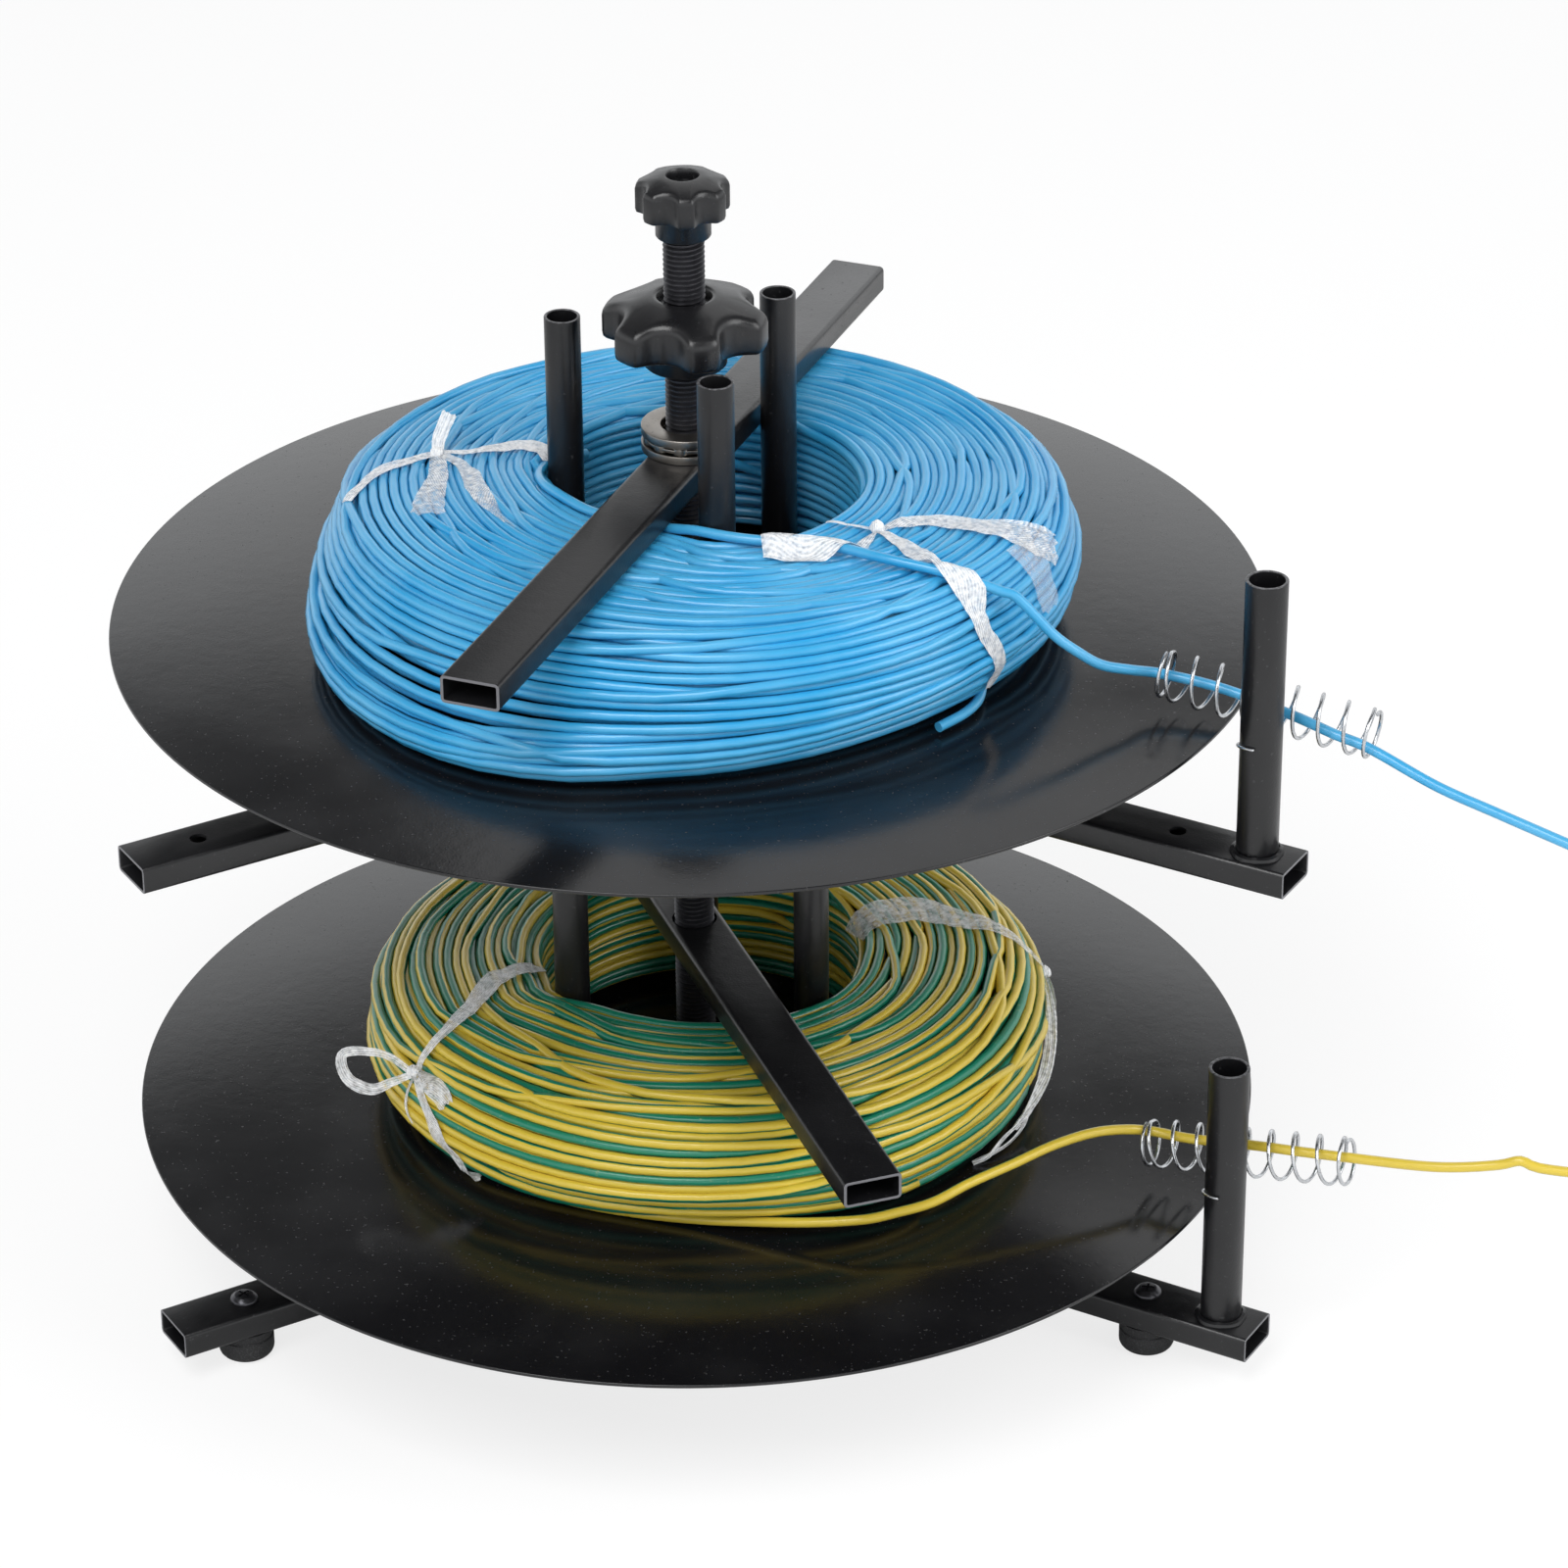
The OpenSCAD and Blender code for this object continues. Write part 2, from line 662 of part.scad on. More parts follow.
bearing_cage(upper_arm_top + nut_h);  // upper_bearing_cage
top_race(upper_arm_top + nut_h);  // upper_bearing_top_race
disc_hub(upper_z);  // upper_disc_hub
disc(upper_z);  // upper_disc
core_post(upper_core_r, upper_core_az, upper_z);  // upper_core_post_a
core_post(upper_core_r, upper_core_az + 120, upper_z);  // upper_core_post_b
core_post(upper_core_r, upper_core_az + 240, upper_z);  // upper_core_post_c
coil_core(upper_coil_bore, upper_coil_r, upper_low_round, upper_z, blue_core);  // upper_coil_core
coil_winding(blue_path(), upper_z, blue_pvc);  // upper_coil_winding
tape(upper_coil_bore, upper_coil_r, upper_z, upper_left_tape);  // upper_tie_left
tape(upper_coil_bore, upper_coil_r, upper_z, upper_right_tape);  // upper_tie_right

press_bar(lower_bar_az, lower_bar_z);  // lower_press_bar
knob_insert(lower_star_z, star_insert_h, insert_r);  // lower_knob_insert
star_knob(lower_star_z);  // lower_star_knob
press_bar(upper_bar_az, upper_bar_z);  // upper_press_bar
bottom_race(clamp_z);  // clamp_bearing_bottom_race
bearing_cage(clamp_z);  // clamp_bearing_cage
top_race(clamp_z);  // clamp_bearing_top_race
knob_insert(upper_star_z, star_insert_h, insert_r);  // upper_knob_insert
star_knob(upper_star_z);  // upper_star_knob
knob_insert(top_knob_z, top_insert_h, top_insert_r);  // top_knob_insert
top_knob(top_knob_z);
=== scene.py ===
"""Two-tier pay-off stand for coils of electrical wire: the finished pieces, their finishes and the stage."""

import math
import random

import bmesh
import bpy
import numpy as np
from mathutils import Matrix, Vector, noise
from mathutils.bvhtree import BVHTree


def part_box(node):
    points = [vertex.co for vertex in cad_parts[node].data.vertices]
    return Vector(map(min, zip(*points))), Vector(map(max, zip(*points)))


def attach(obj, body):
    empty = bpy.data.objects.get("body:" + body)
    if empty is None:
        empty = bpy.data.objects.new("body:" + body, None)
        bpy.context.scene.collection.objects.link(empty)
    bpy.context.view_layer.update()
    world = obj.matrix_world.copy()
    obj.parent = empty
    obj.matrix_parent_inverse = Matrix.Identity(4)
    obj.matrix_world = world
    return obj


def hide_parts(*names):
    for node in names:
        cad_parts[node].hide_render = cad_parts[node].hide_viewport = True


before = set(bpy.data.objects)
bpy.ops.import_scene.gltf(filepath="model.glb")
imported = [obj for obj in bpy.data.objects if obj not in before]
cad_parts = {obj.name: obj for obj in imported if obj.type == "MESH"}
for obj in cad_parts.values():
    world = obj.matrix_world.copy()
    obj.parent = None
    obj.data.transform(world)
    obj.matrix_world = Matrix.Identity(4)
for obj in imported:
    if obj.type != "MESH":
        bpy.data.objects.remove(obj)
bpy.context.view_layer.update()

bl_info = {
    "name": "Wire pay-off stand",
    "version": (1, 0, 0),
    "blender": (4, 5, 0),
    "location": "View3D > Sidebar > Stand",
    "description": "Builds the visible pieces of a two-tier wire pay-off stand",
    "category": "Object",
}

MM = 0.001


def height_of(node, corner):
    """Lowest (0) or highest (1) height of a solid, in millimetres."""
    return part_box(node)[corner][2] / MM


# Heights and places that the solids give, in millimetres.
DISC_TOP = {"lower": height_of("lower_disc", 1), "upper": height_of("upper_disc", 1)}
ARM_TOP = {"lower": height_of("base_arm_left", 1), "upper": height_of("upper_arm_left", 1)}
ARM_AZ = {"left": 210, "rear": 90, "guide": 330}
GUIDE_R = {"lower": 238, "upper": 246}
ARM_REACH = {"lower": 237, "upper": 241}
HOLE_AT = {"lower": 206, "upper": 213}
HOLE_R = {"lower": 3.1, "upper": 3.3}
TUBE_W, TUBE_H = 23, 11
CORE_R = {"lower": 55, "upper": 49}
CORE_AZ = {"lower": 88, "upper": 44}
COIL_X = 5
COIL_H = 57.5
INNER_ROUND = {"lower": 8, "upper": 5}
OUTER_ROUND = 28
COIL_BORE = {"lower": 67, "upper": 61.2}
CORE_Z = 24.0
COIL_RIM = {"lower": 138, "upper": 146.5}
BAR_AZ = {"lower": 289.4, "upper": 248.6}
BAR_SHIFT, BAR_LENGTH = 9.5, 392
ROD_R = 8
BORE_R = 8.06
DISC_R = 225
GUIDE_POST_H, CORE_POST_H = 114, 118

# Where the two wires run from coil to cut end; heights count from their disc's top.
# Most points of these four lists were worked out by a separate script and then adjusted by hand.
BLUE_ROUTE = [
    (123.5, -93, 50), (136.5, -97, 37), (146, -97.5, 29.5), (155, -95.5, 23), (166, -91, 18.5),
    (179, -85.5, 13.7), (201, -93, 11.2), (226, -105, 6.2), (241, -114.8, 3.3), (254, -121.5, 0.5),
    (277.5, -134, -8.5), (299.5, -143.5, -15), (324, -155, -21.5), (337, -161.5, -24.5),
]
YELLOW_ROUTE = [
    (65.5, -133, 13), (78.5, -130.5, 14.5), (92.5, -126.5, 16.5), (107, -118.5, 20), (124, -109, 22.5),
    (140, -100.5, 25.5), (155.5, -94, 27), (168.5, -90, 26), (179.5, -87.5, 23.5), (194.5, -94, 24),
    (218.5, -104, 27), (233.5, -110.5, 28.5), (252.5, -118.5, 30.5), (278.5, -130.2, 34),
    (293.5, -135.5, 36.5), (308.5, -139.5, 40), (316.5, -141.5, 43), (323.5, -143.5, 41), (344.5, -147.5, 40),
]
# The last turn of each coil, which lies free: from where it comes out to where its pay-off wire starts.
BLUE_STRAND = [
    (-40, 34, 50), (-52, 22, 53), (-57, 8, 55), (-55.5, -6, 57), (-49, -17.5, 57.5), (-38, -30, 57), (-26, -36, 55.9),
    (-14, -41.5, 55.8), (-5, -48, 57.5), (3, -53.5, 59.5), (12, -57.8, 59.7), (21, -61.3, 59.8), (31.5, -64.3, 60),
    (41, -66.2, 60.3), (50, -69, 60.7), (59, -72.6, 61), (76.5, -82, 60.7), (94.5, -88.5, 59.2),
    (108.5, -91.7, 55.8), (117.5, -92.3, 52.4), (123.5, -93, 50),
]
YELLOW_STRAND = [
    (-104, -40, 16), (-96, -62, 9), (-83, -80, 4.5), (-69, -91, 3), (-46, -102.5, 2.2),
    (-22, -110.6, 2.2), (2, -117.3, 3.4), (22.4, -123.1, 6), (44.4, -129.4, 9.5), (65.5, -133, 13),
]
COIL_NAME = {"upper": "blue", "lower": "earth"}
FREE_WIRE = {"upper": (BLUE_STRAND, BLUE_ROUTE), "lower": (YELLOW_STRAND, YELLOW_ROUTE)}
# How far each coil has left its round form: steps of (azimuth about its own axis, millimetres outward).
# The lip of the bore has moved in between the core posts, and the foot of the rim has slid out or in.
# Most of these steps come from places that a separate script worked out.
LIP = {
    "upper": (
        (-194, 0), (-186, -2), (-177, -5.5), (-161, -9), (-143, -11), (-128, -13.8), (-114, -15.3), (-106, -15),
        (-100, -14), (-94, -11), (-88, -7.6), (-82, -5.9), (-75, -4), (-66, -1.5), (-55, 0), (160, 0),
    ),
    "lower": (
        (-190, 0), (-176, -1.3), (-166, -3), (-160, -2), (-154, -0.5), (-149, -3.5), (-145, -7), (-135, -12.5),
        (-115, -15.2), (-88, -15.5), (-71, -12.9), (-51, -11.7), (-35, -9.2), (-7, -8.4), (11, -5.3), (40, -1), (70, 0),
        (160, 0),
    ),
}
FOOT = {
    "upper": (
        (-200, 0), (-161, 20), (-146, 27), (-129, 31), (-118, 30), (-108, 25), (-95, 14), (-77, 5), (-63, 0), (-45, -3),
        (-25, 0), (150, 0),
    ),
    "lower": (
        (-160, 0), (-121, -2.5), (-109, -4.6), (-98, -6.3), (-86, -6.2), (-75, -3), (-64, 1), (-56, 3),
        (-29, 2), (10, 0),
    ),
}


def srgb(code):
    """Linear colour of a web colour code."""
    parts = [int(code[i : i + 2], 16) / 255 for i in (1, 3, 5)]
    return tuple(c / 12.92 if c <= 0.04045 else ((c + 0.055) / 1.055) ** 2.4 for c in parts)


# --- Finishes -------------------------------------------------------------------------------------


class Value:
    """The value of a socket. Python's operators on it add Math nodes."""

    def __init__(self, finish, socket):
        self.finish, self.socket = finish, socket

    def __add__(self, other):
        return self.finish.math("ADD", self, other)

    def __sub__(self, other):
        return self.finish.math("SUBTRACT", self, other)

    def __rsub__(self, other):
        return self.finish.math("SUBTRACT", other, self)

    def __mul__(self, other):
        return self.finish.math("MULTIPLY", self, other)

    __radd__ = __add__
    __rmul__ = __mul__


class Finish:
    """A material in the making, with one shader."""

    def __init__(self, name, **constants):
        self.material = bpy.data.materials.new(name + "_finish")
        self.material.use_nodes = True
        self.tree = self.material.node_tree
        self.shader = self.tree.nodes["Principled BSDF"]
        for socket, value in constants.items():
            self.shader.inputs[socket.replace("_", " ").title()].default_value = value

    def node(self, kind, settings=(), inputs=(), output=0):
        """Adds a node: its settings first, then a value or a link for each of the named sockets."""
        made = self.tree.nodes.new("ShaderNode" + kind)
        for name, value in dict(settings).items():
            if name == "stops":
                self.set_stops(made.color_ramp, value)
            else:
                setattr(made, name, value)
        for name, value in dict(inputs).items():
            self.feed(made.inputs[name], value)
        return Value(self, made.outputs[output])

    def set_stops(self, ramp, stops):
        while len(ramp.elements) < len(stops):
            ramp.elements.new(0.5)
        for element, (position, shade) in zip(ramp.elements, stops):
            element.position = position
            element.color = (*shade, 1)

    def feed(self, socket, value):
        if isinstance(value, Value):
            self.tree.links.new(value.socket, socket)
        elif socket.type == "RGBA" and len(value) == 3:
            socket.default_value = (*value, 1)
        else:
            socket.default_value = value

    def math(self, operation, a, b=0.0):
        return self.node("Math", {"operation": operation}, {0: a, 1: b})

    def place(self):
        return self.node("TexCoord", output=3)

    def grain(self, size, detail=2.0, rough=0.5, vector=None):
        """Noise whose features are about size millimetres wide."""
        inputs = {"Vector": vector or self.place(), "Scale": 1 / (size * MM), "Detail": detail, "Roughness": rough}
        return self.node("TexNoise", {}, inputs)

    def step(self, value, low, high):
        """0 below low, 1 above high, and a smooth rise between them."""
        inputs = {"Value": value, "From Min": low, "From Max": high}
        return self.node("MapRange", {"interpolation_type": "SMOOTHSTEP"}, inputs)

    def blend(self, mask, first, second):
        return self.node("Mix", {"data_type": "RGBA"}, {0: mask, 6: first, 7: second}, output=2)

    def attribute(self, name):
        return self.node("Attribute", {"attribute_name": name}, output=2)

    def bump(self, height, depth, strength=1.0):
        inputs = {"Height": height, "Distance": depth * MM, "Strength": strength}
        return self.node("Bump", {}, inputs)

    def wear(self, colour, roughness, normal=None, metallic=None):
        """Feeds what changes over the surface."""
        self.feed(self.shader.inputs["Base Color"], colour)
        self.feed(self.shader.inputs["Roughness"], roughness)
        if normal:
            self.feed(self.shader.inputs["Normal"], normal)
        if metallic:
            self.feed(self.shader.inputs["Metallic"], metallic)


def paint_finish(name, colours, rough, peel):
    """Black satin paint with a fine skin, dust, and a grey painted highlight along cut edges and rims."""
    f = Finish(name)
    dust = f.step(f.grain(1.6, 1), 0.70, 0.76)
    cloud = f.grain(45, 3)
    # Painted highlight: where the vertex attribute marks a cut end or rim, the black paint turns grey to stand for
    # light along the edge.
    rim_light = f.step(f.attribute("worn") + (f.grain(1.5) - 0.5) * 0.7, 0.45, 0.8)
    coat = f.blend(dust * 0.25 + f.step(cloud, 0.4, 0.75) * 0.05, tuple(colours.paint), tuple(colours.dust))
    f.wear(
        f.blend(rim_light, coat, tuple(colours.rim_highlight)),
        cloud * 0.14 + dust * 0.25 + (rough - 0.07),
        f.bump(f.grain(0.9, 1) + f.grain(6, 1) * 1.5, peel),
        rim_light * 0.3,
    )
    return f.material


def rubber_finish(colours):
    f = Finish("foot_rubber")
    grit = f.grain(0.6, 3)
    dusty = f.blend(f.step(grit, 0.45, 0.8) * 0.5, tuple(colours.rubber), tuple(colours.dust))
    f.wear(dusty, grit * 0.2 + 0.62, f.bump(grit, 0.08))
    return f.material


def steel_finish(name, colour, dark, rough, streak=1.2):
    """Bright steel with faint clouds, small stains and a soft skin."""
    f = Finish(name, metallic=1.0)
    cloud = f.grain(6, 3)
    stain = f.step(f.grain(streak, 2), 0.58, 0.75)
    f.wear(
        f.blend(stain * 0.45 + f.step(cloud, 0.45, 0.8) * 0.3, tuple(colour), tuple(dark)),
        cloud * 0.18 + stain * 0.15 + (rough - 0.1),
        f.bump(f.grain(0.5, 2), 0.012),
    )
    return f.material


def rod_finish(colours):
    """Blackened thread: dark roots, and crests painted a little brighter in patches as a painted highlight for the
    thread's glints.
    """
    f = Finish("rod_steel", metallic=0.85)
    x = f.node("SeparateXYZ", {}, {"Vector": f.place()})
    y = Value(f, x.socket.node.outputs[1])
    reach = f.math("SQRT", x * x + y * y)
    crest = f.step(reach, 7.55 * MM, 7.98 * MM)
    rub_and_glint = f.step(f.grain(2.5, 3), 0.35, 0.7)
    # Painted highlight: the crests get a lighter colour in patches to stand for glints on the thread; the same noise
    # also roughens the surface.
    colour = f.blend(crest * (rub_and_glint * 0.5 + 0.1), tuple(colours.rod), tuple(colours.crest_glint))
    f.wear(colour, 0.42 - crest * 0.14 + rub_and_glint * 0.1, f.bump(f.grain(0.4, 2), 0.02))
    return f.material


def knob_finish(colours):
    f = Finish("knob_plastic")
    cloud = f.grain(12, 3)
    fine = f.grain(0.7, 2)
    f.wear(
        f.blend(f.step(f.grain(1.2, 2), 0.66, 0.8) * 0.4, tuple(colours.plastic), tuple(colours.dust)),
        cloud * 0.2 + 0.2,
        f.bump(fine + cloud * 3, 0.03),
    )
    return f.material


def wire_finish(name, first, second, dull):
    """Glossy insulation in one colour, or in two that share the wire along a turning line."""
    f = Finish(name)
    f.shader.inputs["Coat Weight"].default_value = 0.25
    f.shader.inputs["Coat Roughness"].default_value = 0.12
    scuff = f.step(f.grain(2.2, 4, 0.7), 0.6, 0.74)
    cloud = f.grain(30, 2)
    if second:
        stripe = f.step(f.attribute("stripe") + (f.grain(3) - 0.5) * 0.1, -0.07, 0.07)
        skin = f.blend(stripe, tuple(first), tuple(second))
    else:
        skin = f.blend(f.step(cloud, 0.3, 0.7), tuple(first), tuple(dull))
    rough = cloud * 0.12 + scuff * 0.2 + 0.24
    f.wear(f.blend(scuff * 0.25, skin, tuple(dull)), rough, f.bump(f.grain(1.4, 2), 0.02))
    return f.material


def tape_finish(colours):
    """Woven plastic tape: thin milky fibres with gaps between them."""
    f = Finish("tie_tape")
    ridge = f.math("SINE", f.attribute("fibre") * 70.0)
    cross = f.grain(1.2, 3, 0.7)
    f.wear(
        f.blend(f.step(cross, 0.45, 0.75), tuple(colours.tape), tuple(colours.tape_shade)),
        cross * 0.3 + 0.25,
        f.bump(ridge + cross, 0.12),
    )
    cover = f.step(ridge * 0.1 + f.grain(2.5, 3) * 1.1 + f.attribute("cover"), 0.45, 1.15)
    f.feed(f.shader.inputs["Alpha"], cover * 0.7 + 0.15)
    return f.material


# --- Shaping --------------------------------------------------------------------------------------


def at(x=0.0, y=0.0, z=0.0, turn=0.0):
    """A place in the stand: millimetres, and degrees about the upright."""
    return Matrix.Translation((x, y, z)) @ Matrix.Rotation(math.radians(turn), 4, "Z")


def bevel(bm, geom, size, segments, affect="VERTICES"):
    bmesh.ops.bevel(
        bm, geom=geom, offset=size, offset_type="OFFSET", segments=segments, profile=0.5, affect=affect, material=-1
    )


def turned(profile, rounding=0.4, steps=96, rounds=None, closed=True):
    """Spins a half section of (radius, height) about Z, with its corners rounded."""
    bm = bmesh.new()
    corners = [bm.verts.new((r, 0, z)) for r, z in profile]
    ends = corners[1:] + corners[:1] if closed else corners[1:]
    for a, b in zip(corners, ends):
        bm.edges.new((a, b))
    wanted = {}
    for i, v in enumerate(corners):
        if v.co.x > 1e-6 and (closed or 0 < i < len(corners) - 1):
            wanted.setdefault((rounds or {}).get(i, rounding), []).append(v)
    for radius, verts in wanted.items():
        if radius:
            bevel(bm, verts, radius, 3 if radius < 1.5 else 6)
    bmesh.ops.spin(
        bm, geom=bm.verts[:] + bm.edges[:], cent=(0, 0, 0), axis=(0, 0, 1), dvec=(0, 0, 0),
        angle=math.tau, steps=steps, use_merge=True, use_duplicate=False,
    )
    bmesh.ops.remove_doubles(bm, verts=bm.verts, dist=1e-5)
    bmesh.ops.recalc_face_normals(bm, faces=bm.faces)
    return bm


def rounded_loop(bm, width, height, radius, segments):
    """A rounded rectangle of edges in the YZ plane."""
    y, z = width / 2, height / 2
    corners = [bm.verts.new((0, a, b)) for a, b in ((-y, -z), (y, -z), (y, z), (-y, z))]
    for a, b in zip(corners, corners[1:] + corners[:1]):
        bm.edges.new((a, b))
    bevel(bm, corners, radius, segments)


def square_tube(start, end, width=TUBE_W, height=TUBE_H, wall=1.2):
    """Rectangular tube along X, with round corners and lightly broken end edges."""
    bm = bmesh.new()
    rounded_loop(bm, width, height, 1.8, 4)
    rounded_loop(bm, width - 2 * wall, height - 2 * wall, 0.7, 4)
    bmesh.ops.bridge_loops(bm, edges=bm.edges[:])
    cap = bmesh.ops.extrude_face_region(bm, geom=bm.faces[:])
    moved = [v for v in cap["geom"] if isinstance(v, bmesh.types.BMVert)]
    bmesh.ops.translate(bm, vec=(end - start, 0, 0), verts=moved)
    bmesh.ops.translate(bm, vec=(start, 0, 0), verts=bm.verts)
    bmesh.ops.recalc_face_normals(bm, faces=bm.faces)
    rims = [
        e
        for e in bm.edges
        if abs(e.verts[0].co.x - e.verts[1].co.x) < 1e-6 and e.calc_face_angle(0) > 1.2
    ]
    bevel(bm, rims, 0.18, 2, "EDGES")
    # Marks the cut ends, where the paint finish draws a grey painted highlight along the rim.
    worn = bm.verts.layers.float.new("worn")
    for v in bm.verts:
        v[worn] = 1.0 if min(abs(v.co.x - start), abs(v.co.x - end)) < 0.15 else 0.0
    return bm


def joined(*parts):
    """Puts (shape, place) pairs into one mesh; the shapes are used up."""
    whole = bmesh.new()
    for shape, place in parts:
        bmesh.ops.transform(shape, matrix=place, verts=shape.verts)
        mesh = bpy.data.meshes.new("part")
        shape.to_mesh(mesh)
        shape.free()
        whole.from_mesh(mesh)
        bpy.data.meshes.remove(mesh)
    return whole


def carved(shape, tool, operation="DIFFERENCE"):
    """Cuts a closed shape with a closed tool, or keeps what they share."""
    objects = []
    for bm in (shape, tool):
        mesh = bpy.data.meshes.new("carving")
        bm.to_mesh(mesh)
        bm.free()
        objects.append(bpy.data.objects.new("carving", mesh))
        bpy.context.collection.objects.link(objects[-1])
    work, cutter = objects
    modifier = work.modifiers.new("cut", "BOOLEAN")
    modifier.operation = operation
    modifier.solver = "EXACT"
    modifier.object = cutter
    view = bpy.context.evaluated_depsgraph_get()
    mesh = bpy.data.meshes.new_from_object(work.evaluated_get(view))
    made = bmesh.new()
    made.from_mesh(mesh)
    for data in (mesh, work.data, cutter.data):
        bpy.data.meshes.remove(data)
    return made


def lofted(rings, closed=True):
    """A skin through rings of the same number of points; closed joins the last ring to the first."""
    bm = bmesh.new()
    bmesh.ops.create_circle(bm, segments=len(rings[0]), radius=1)
    verts = bm.verts[:]
    order = sorted(range(len(verts)), key=lambda i: math.atan2(verts[i].co.y, verts[i].co.x) % math.tau)
    verts = [verts[i] for i in order]
    for v, p in zip(verts, rings[0]):
        v.co = p
    edges = bm.edges[:]
    for ring in rings[1:] + ([rings[0]] if closed else []):
        follow = {v: i for i, v in enumerate(verts)}
        made = bmesh.ops.extrude_edge_only(bm, edges=edges)["geom"]
        edges = [g for g in made if isinstance(g, bmesh.types.BMEdge)]
        fresh = [g for g in made if isinstance(g, bmesh.types.BMVert)]
        following = [None] * len(verts)
        for v in fresh:
            old = next(o for o in (e.other_vert(v) for e in v.link_edges) if o in follow)
            following[follow[old]] = v
        for v, p in zip(following, ring):
            v.co = p
        verts = following
    bmesh.ops.remove_doubles(bm, verts=bm.verts, dist=1e-5)
    bmesh.ops.recalc_face_normals(bm, faces=bm.faces)
    return bm


def smooth_path(route, step):
    """Points about step millimetres apart on a smooth curve through a route."""
    p = [np.array(q, float) for q in route]
    out = []
    for i in range(len(p) - 1):
        a = 2 * p[0] - p[1] if i == 0 else p[i - 1]
        b, c = p[i], p[i + 1]
        d = 2 * p[i + 1] - p[i] if i + 2 > len(p) - 1 else p[i + 2]
        count = max(1, round(float(np.linalg.norm(c - b)) / step))
        for k in range(count):
            u = k / count
            out.append(
                0.5 * (2 * b + (c - a) * u + (2 * a - 5 * b + 4 * c - d) * u * u + (3 * b - 3 * c + d - a) * u**3)
            )
    return out + [p[-1]]


def wire(path, radius, sides=10, stripe=None, swell=None, keep=None, ring=False):
    """A closed round tube along a path, swept by a curve; stripe gives the colour line's turn at each point.

    keep names the first and the last point of the stretch that stays; ring joins the last point to the first."""
    curve = bpy.data.curves.new("sweep", "CURVE")
    curve.dimensions = "3D"
    curve.bevel_depth = radius
    curve.bevel_resolution = sides // 2 - 2
    spline = curve.splines.new("POLY")
    spline.use_cyclic_u = ring
    spline.points.add(len(path) - 1)
    for i, p in enumerate(path):
        spline.points[i].co = (*p, 1)
        spline.points[i].radius = swell[i] if swell else 1
    carrier = bpy.data.objects.new("sweep", curve)
    bpy.context.collection.objects.link(carrier)
    view = bpy.context.evaluated_depsgraph_get()
    mesh = bpy.data.meshes.new_from_object(carrier.evaluated_get(view))
    bpy.data.objects.remove(carrier)
    bpy.data.curves.remove(curve)
    if stripe is not None:
        around = np.tile(np.arange(sides) * math.tau / sides, len(path)) + np.repeat(np.array(stripe), sides)
        layer = mesh.attributes.new("stripe", "FLOAT", "POINT")
        layer.data.foreach_set("value", np.cos(around).astype(np.float32))
    bm = bmesh.new()
    bm.from_mesh(mesh)
    bpy.data.meshes.remove(mesh)
    if keep:
        gone = [v for i, v in enumerate(bm.verts) if not keep[0] <= i // sides <= keep[1]]
        bmesh.ops.delete(bm, geom=gone, context="VERTS")
    bmesh.ops.holes_fill(bm, edges=[e for e in bm.edges if e.is_boundary], sides=0)
    bmesh.ops.recalc_face_normals(bm, faces=bm.faces)
    return bm


def piece(shape, name, body, finish, *nodes, place=None, crease=32.0):
    """Makes the shape, in millimetres, a finished piece on a body, in place of solids."""
    if place:
        bmesh.ops.transform(shape, matrix=place, verts=shape.verts)
    bmesh.ops.scale(shape, vec=(MM, MM, MM), verts=shape.verts)
    mesh = bpy.data.meshes.new(name)
    shape.to_mesh(mesh)
    shape.free()
    mesh.shade_smooth()
    mesh.set_sharp_from_angle(angle=math.radians(crease))
    obj = bpy.data.objects.new(name, mesh)
    bpy.context.collection.objects.link(obj)
    mesh.materials.clear()
    mesh.materials.append(bpy.data.materials[finish + "_finish"])
    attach(obj, body)
    if nodes:
        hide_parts(*nodes)
    return obj


def weld_bead(path, size, seed):
    """An uneven bead of weld along a path, flooded with paint."""
    rng = random.Random(seed)
    shift = Vector((seed, 0, 0))
    swell = [1 + 0.22 * noise.noise(Vector(p) * 0.45 + shift) + rng.uniform(-0.06, 0.06) for p in path]
    return wire(path, size, 8, swell=swell)


def ring_path(radius, z, points, wobble=0.0, start=0.0, sweep=360.0):
    return [
        (
            (radius + wobble * math.sin(5 * a + z)) * math.cos(a),
            (radius + wobble * math.sin(5 * a + z)) * math.sin(a),
            z,
        )
        for a in (math.radians(start + sweep * i / points) for i in range(points + 1))
    ]


# --- Coils ----------------------------------------------------------------------------------------


def section_line(tier, inset):
    """Points of a coil's half section, that far inside it: up the rim, over the top and down the bore."""
    least = max(INNER_ROUND[tier], inset + 1)
    rim_c, bore_c = COIL_RIM[tier] - OUTER_ROUND, COIL_BORE[tier] + least
    outer, inner = OUTER_ROUND - inset, least - inset
    line = []
    for centre_z, first, last in ((OUTER_ROUND, -78, 0), (COIL_H - OUTER_ROUND, 0, 90)):
        for a in np.radians(np.linspace(first, last, 40)):
            line.append((rim_c + outer * math.cos(a), centre_z + outer * math.sin(a)))
    for centre_z, first, last in ((COIL_H - least, 90, 180), (least, 180, 250)):
        for a in np.radians(np.linspace(first, last, 30)):
            line.append((bore_c + inner * math.cos(a), centre_z + inner * math.sin(a)))
    return np.array(line)


def along_line(line, way):
    """Points at these distances along a line."""
    reach = np.concatenate([[0], np.cumsum(np.linalg.norm(np.diff(line, axis=0), axis=1))])
    return np.stack([np.interp(way, reach, line[:, 0]), np.interp(way, reach, line[:, 1])], axis=-1)


def line_length(line):
    return float(np.linalg.norm(np.diff(line, axis=0), axis=1).sum())


STATIONS = 60


def drift(turns, seed, size, tight):
    """A smooth wander, alike on neighbouring turns, one value for each station of a wire."""
    values = []
    for k in range(turns):
        a = math.tau * k / STATIONS
        turn = k / STATIONS
        spot = Vector((1.1 * math.cos(a) + seed, 1.1 * math.sin(a), turn * tight + seed * 0.7))
        values.append(size * noise.noise(spot))
    return np.array(values)


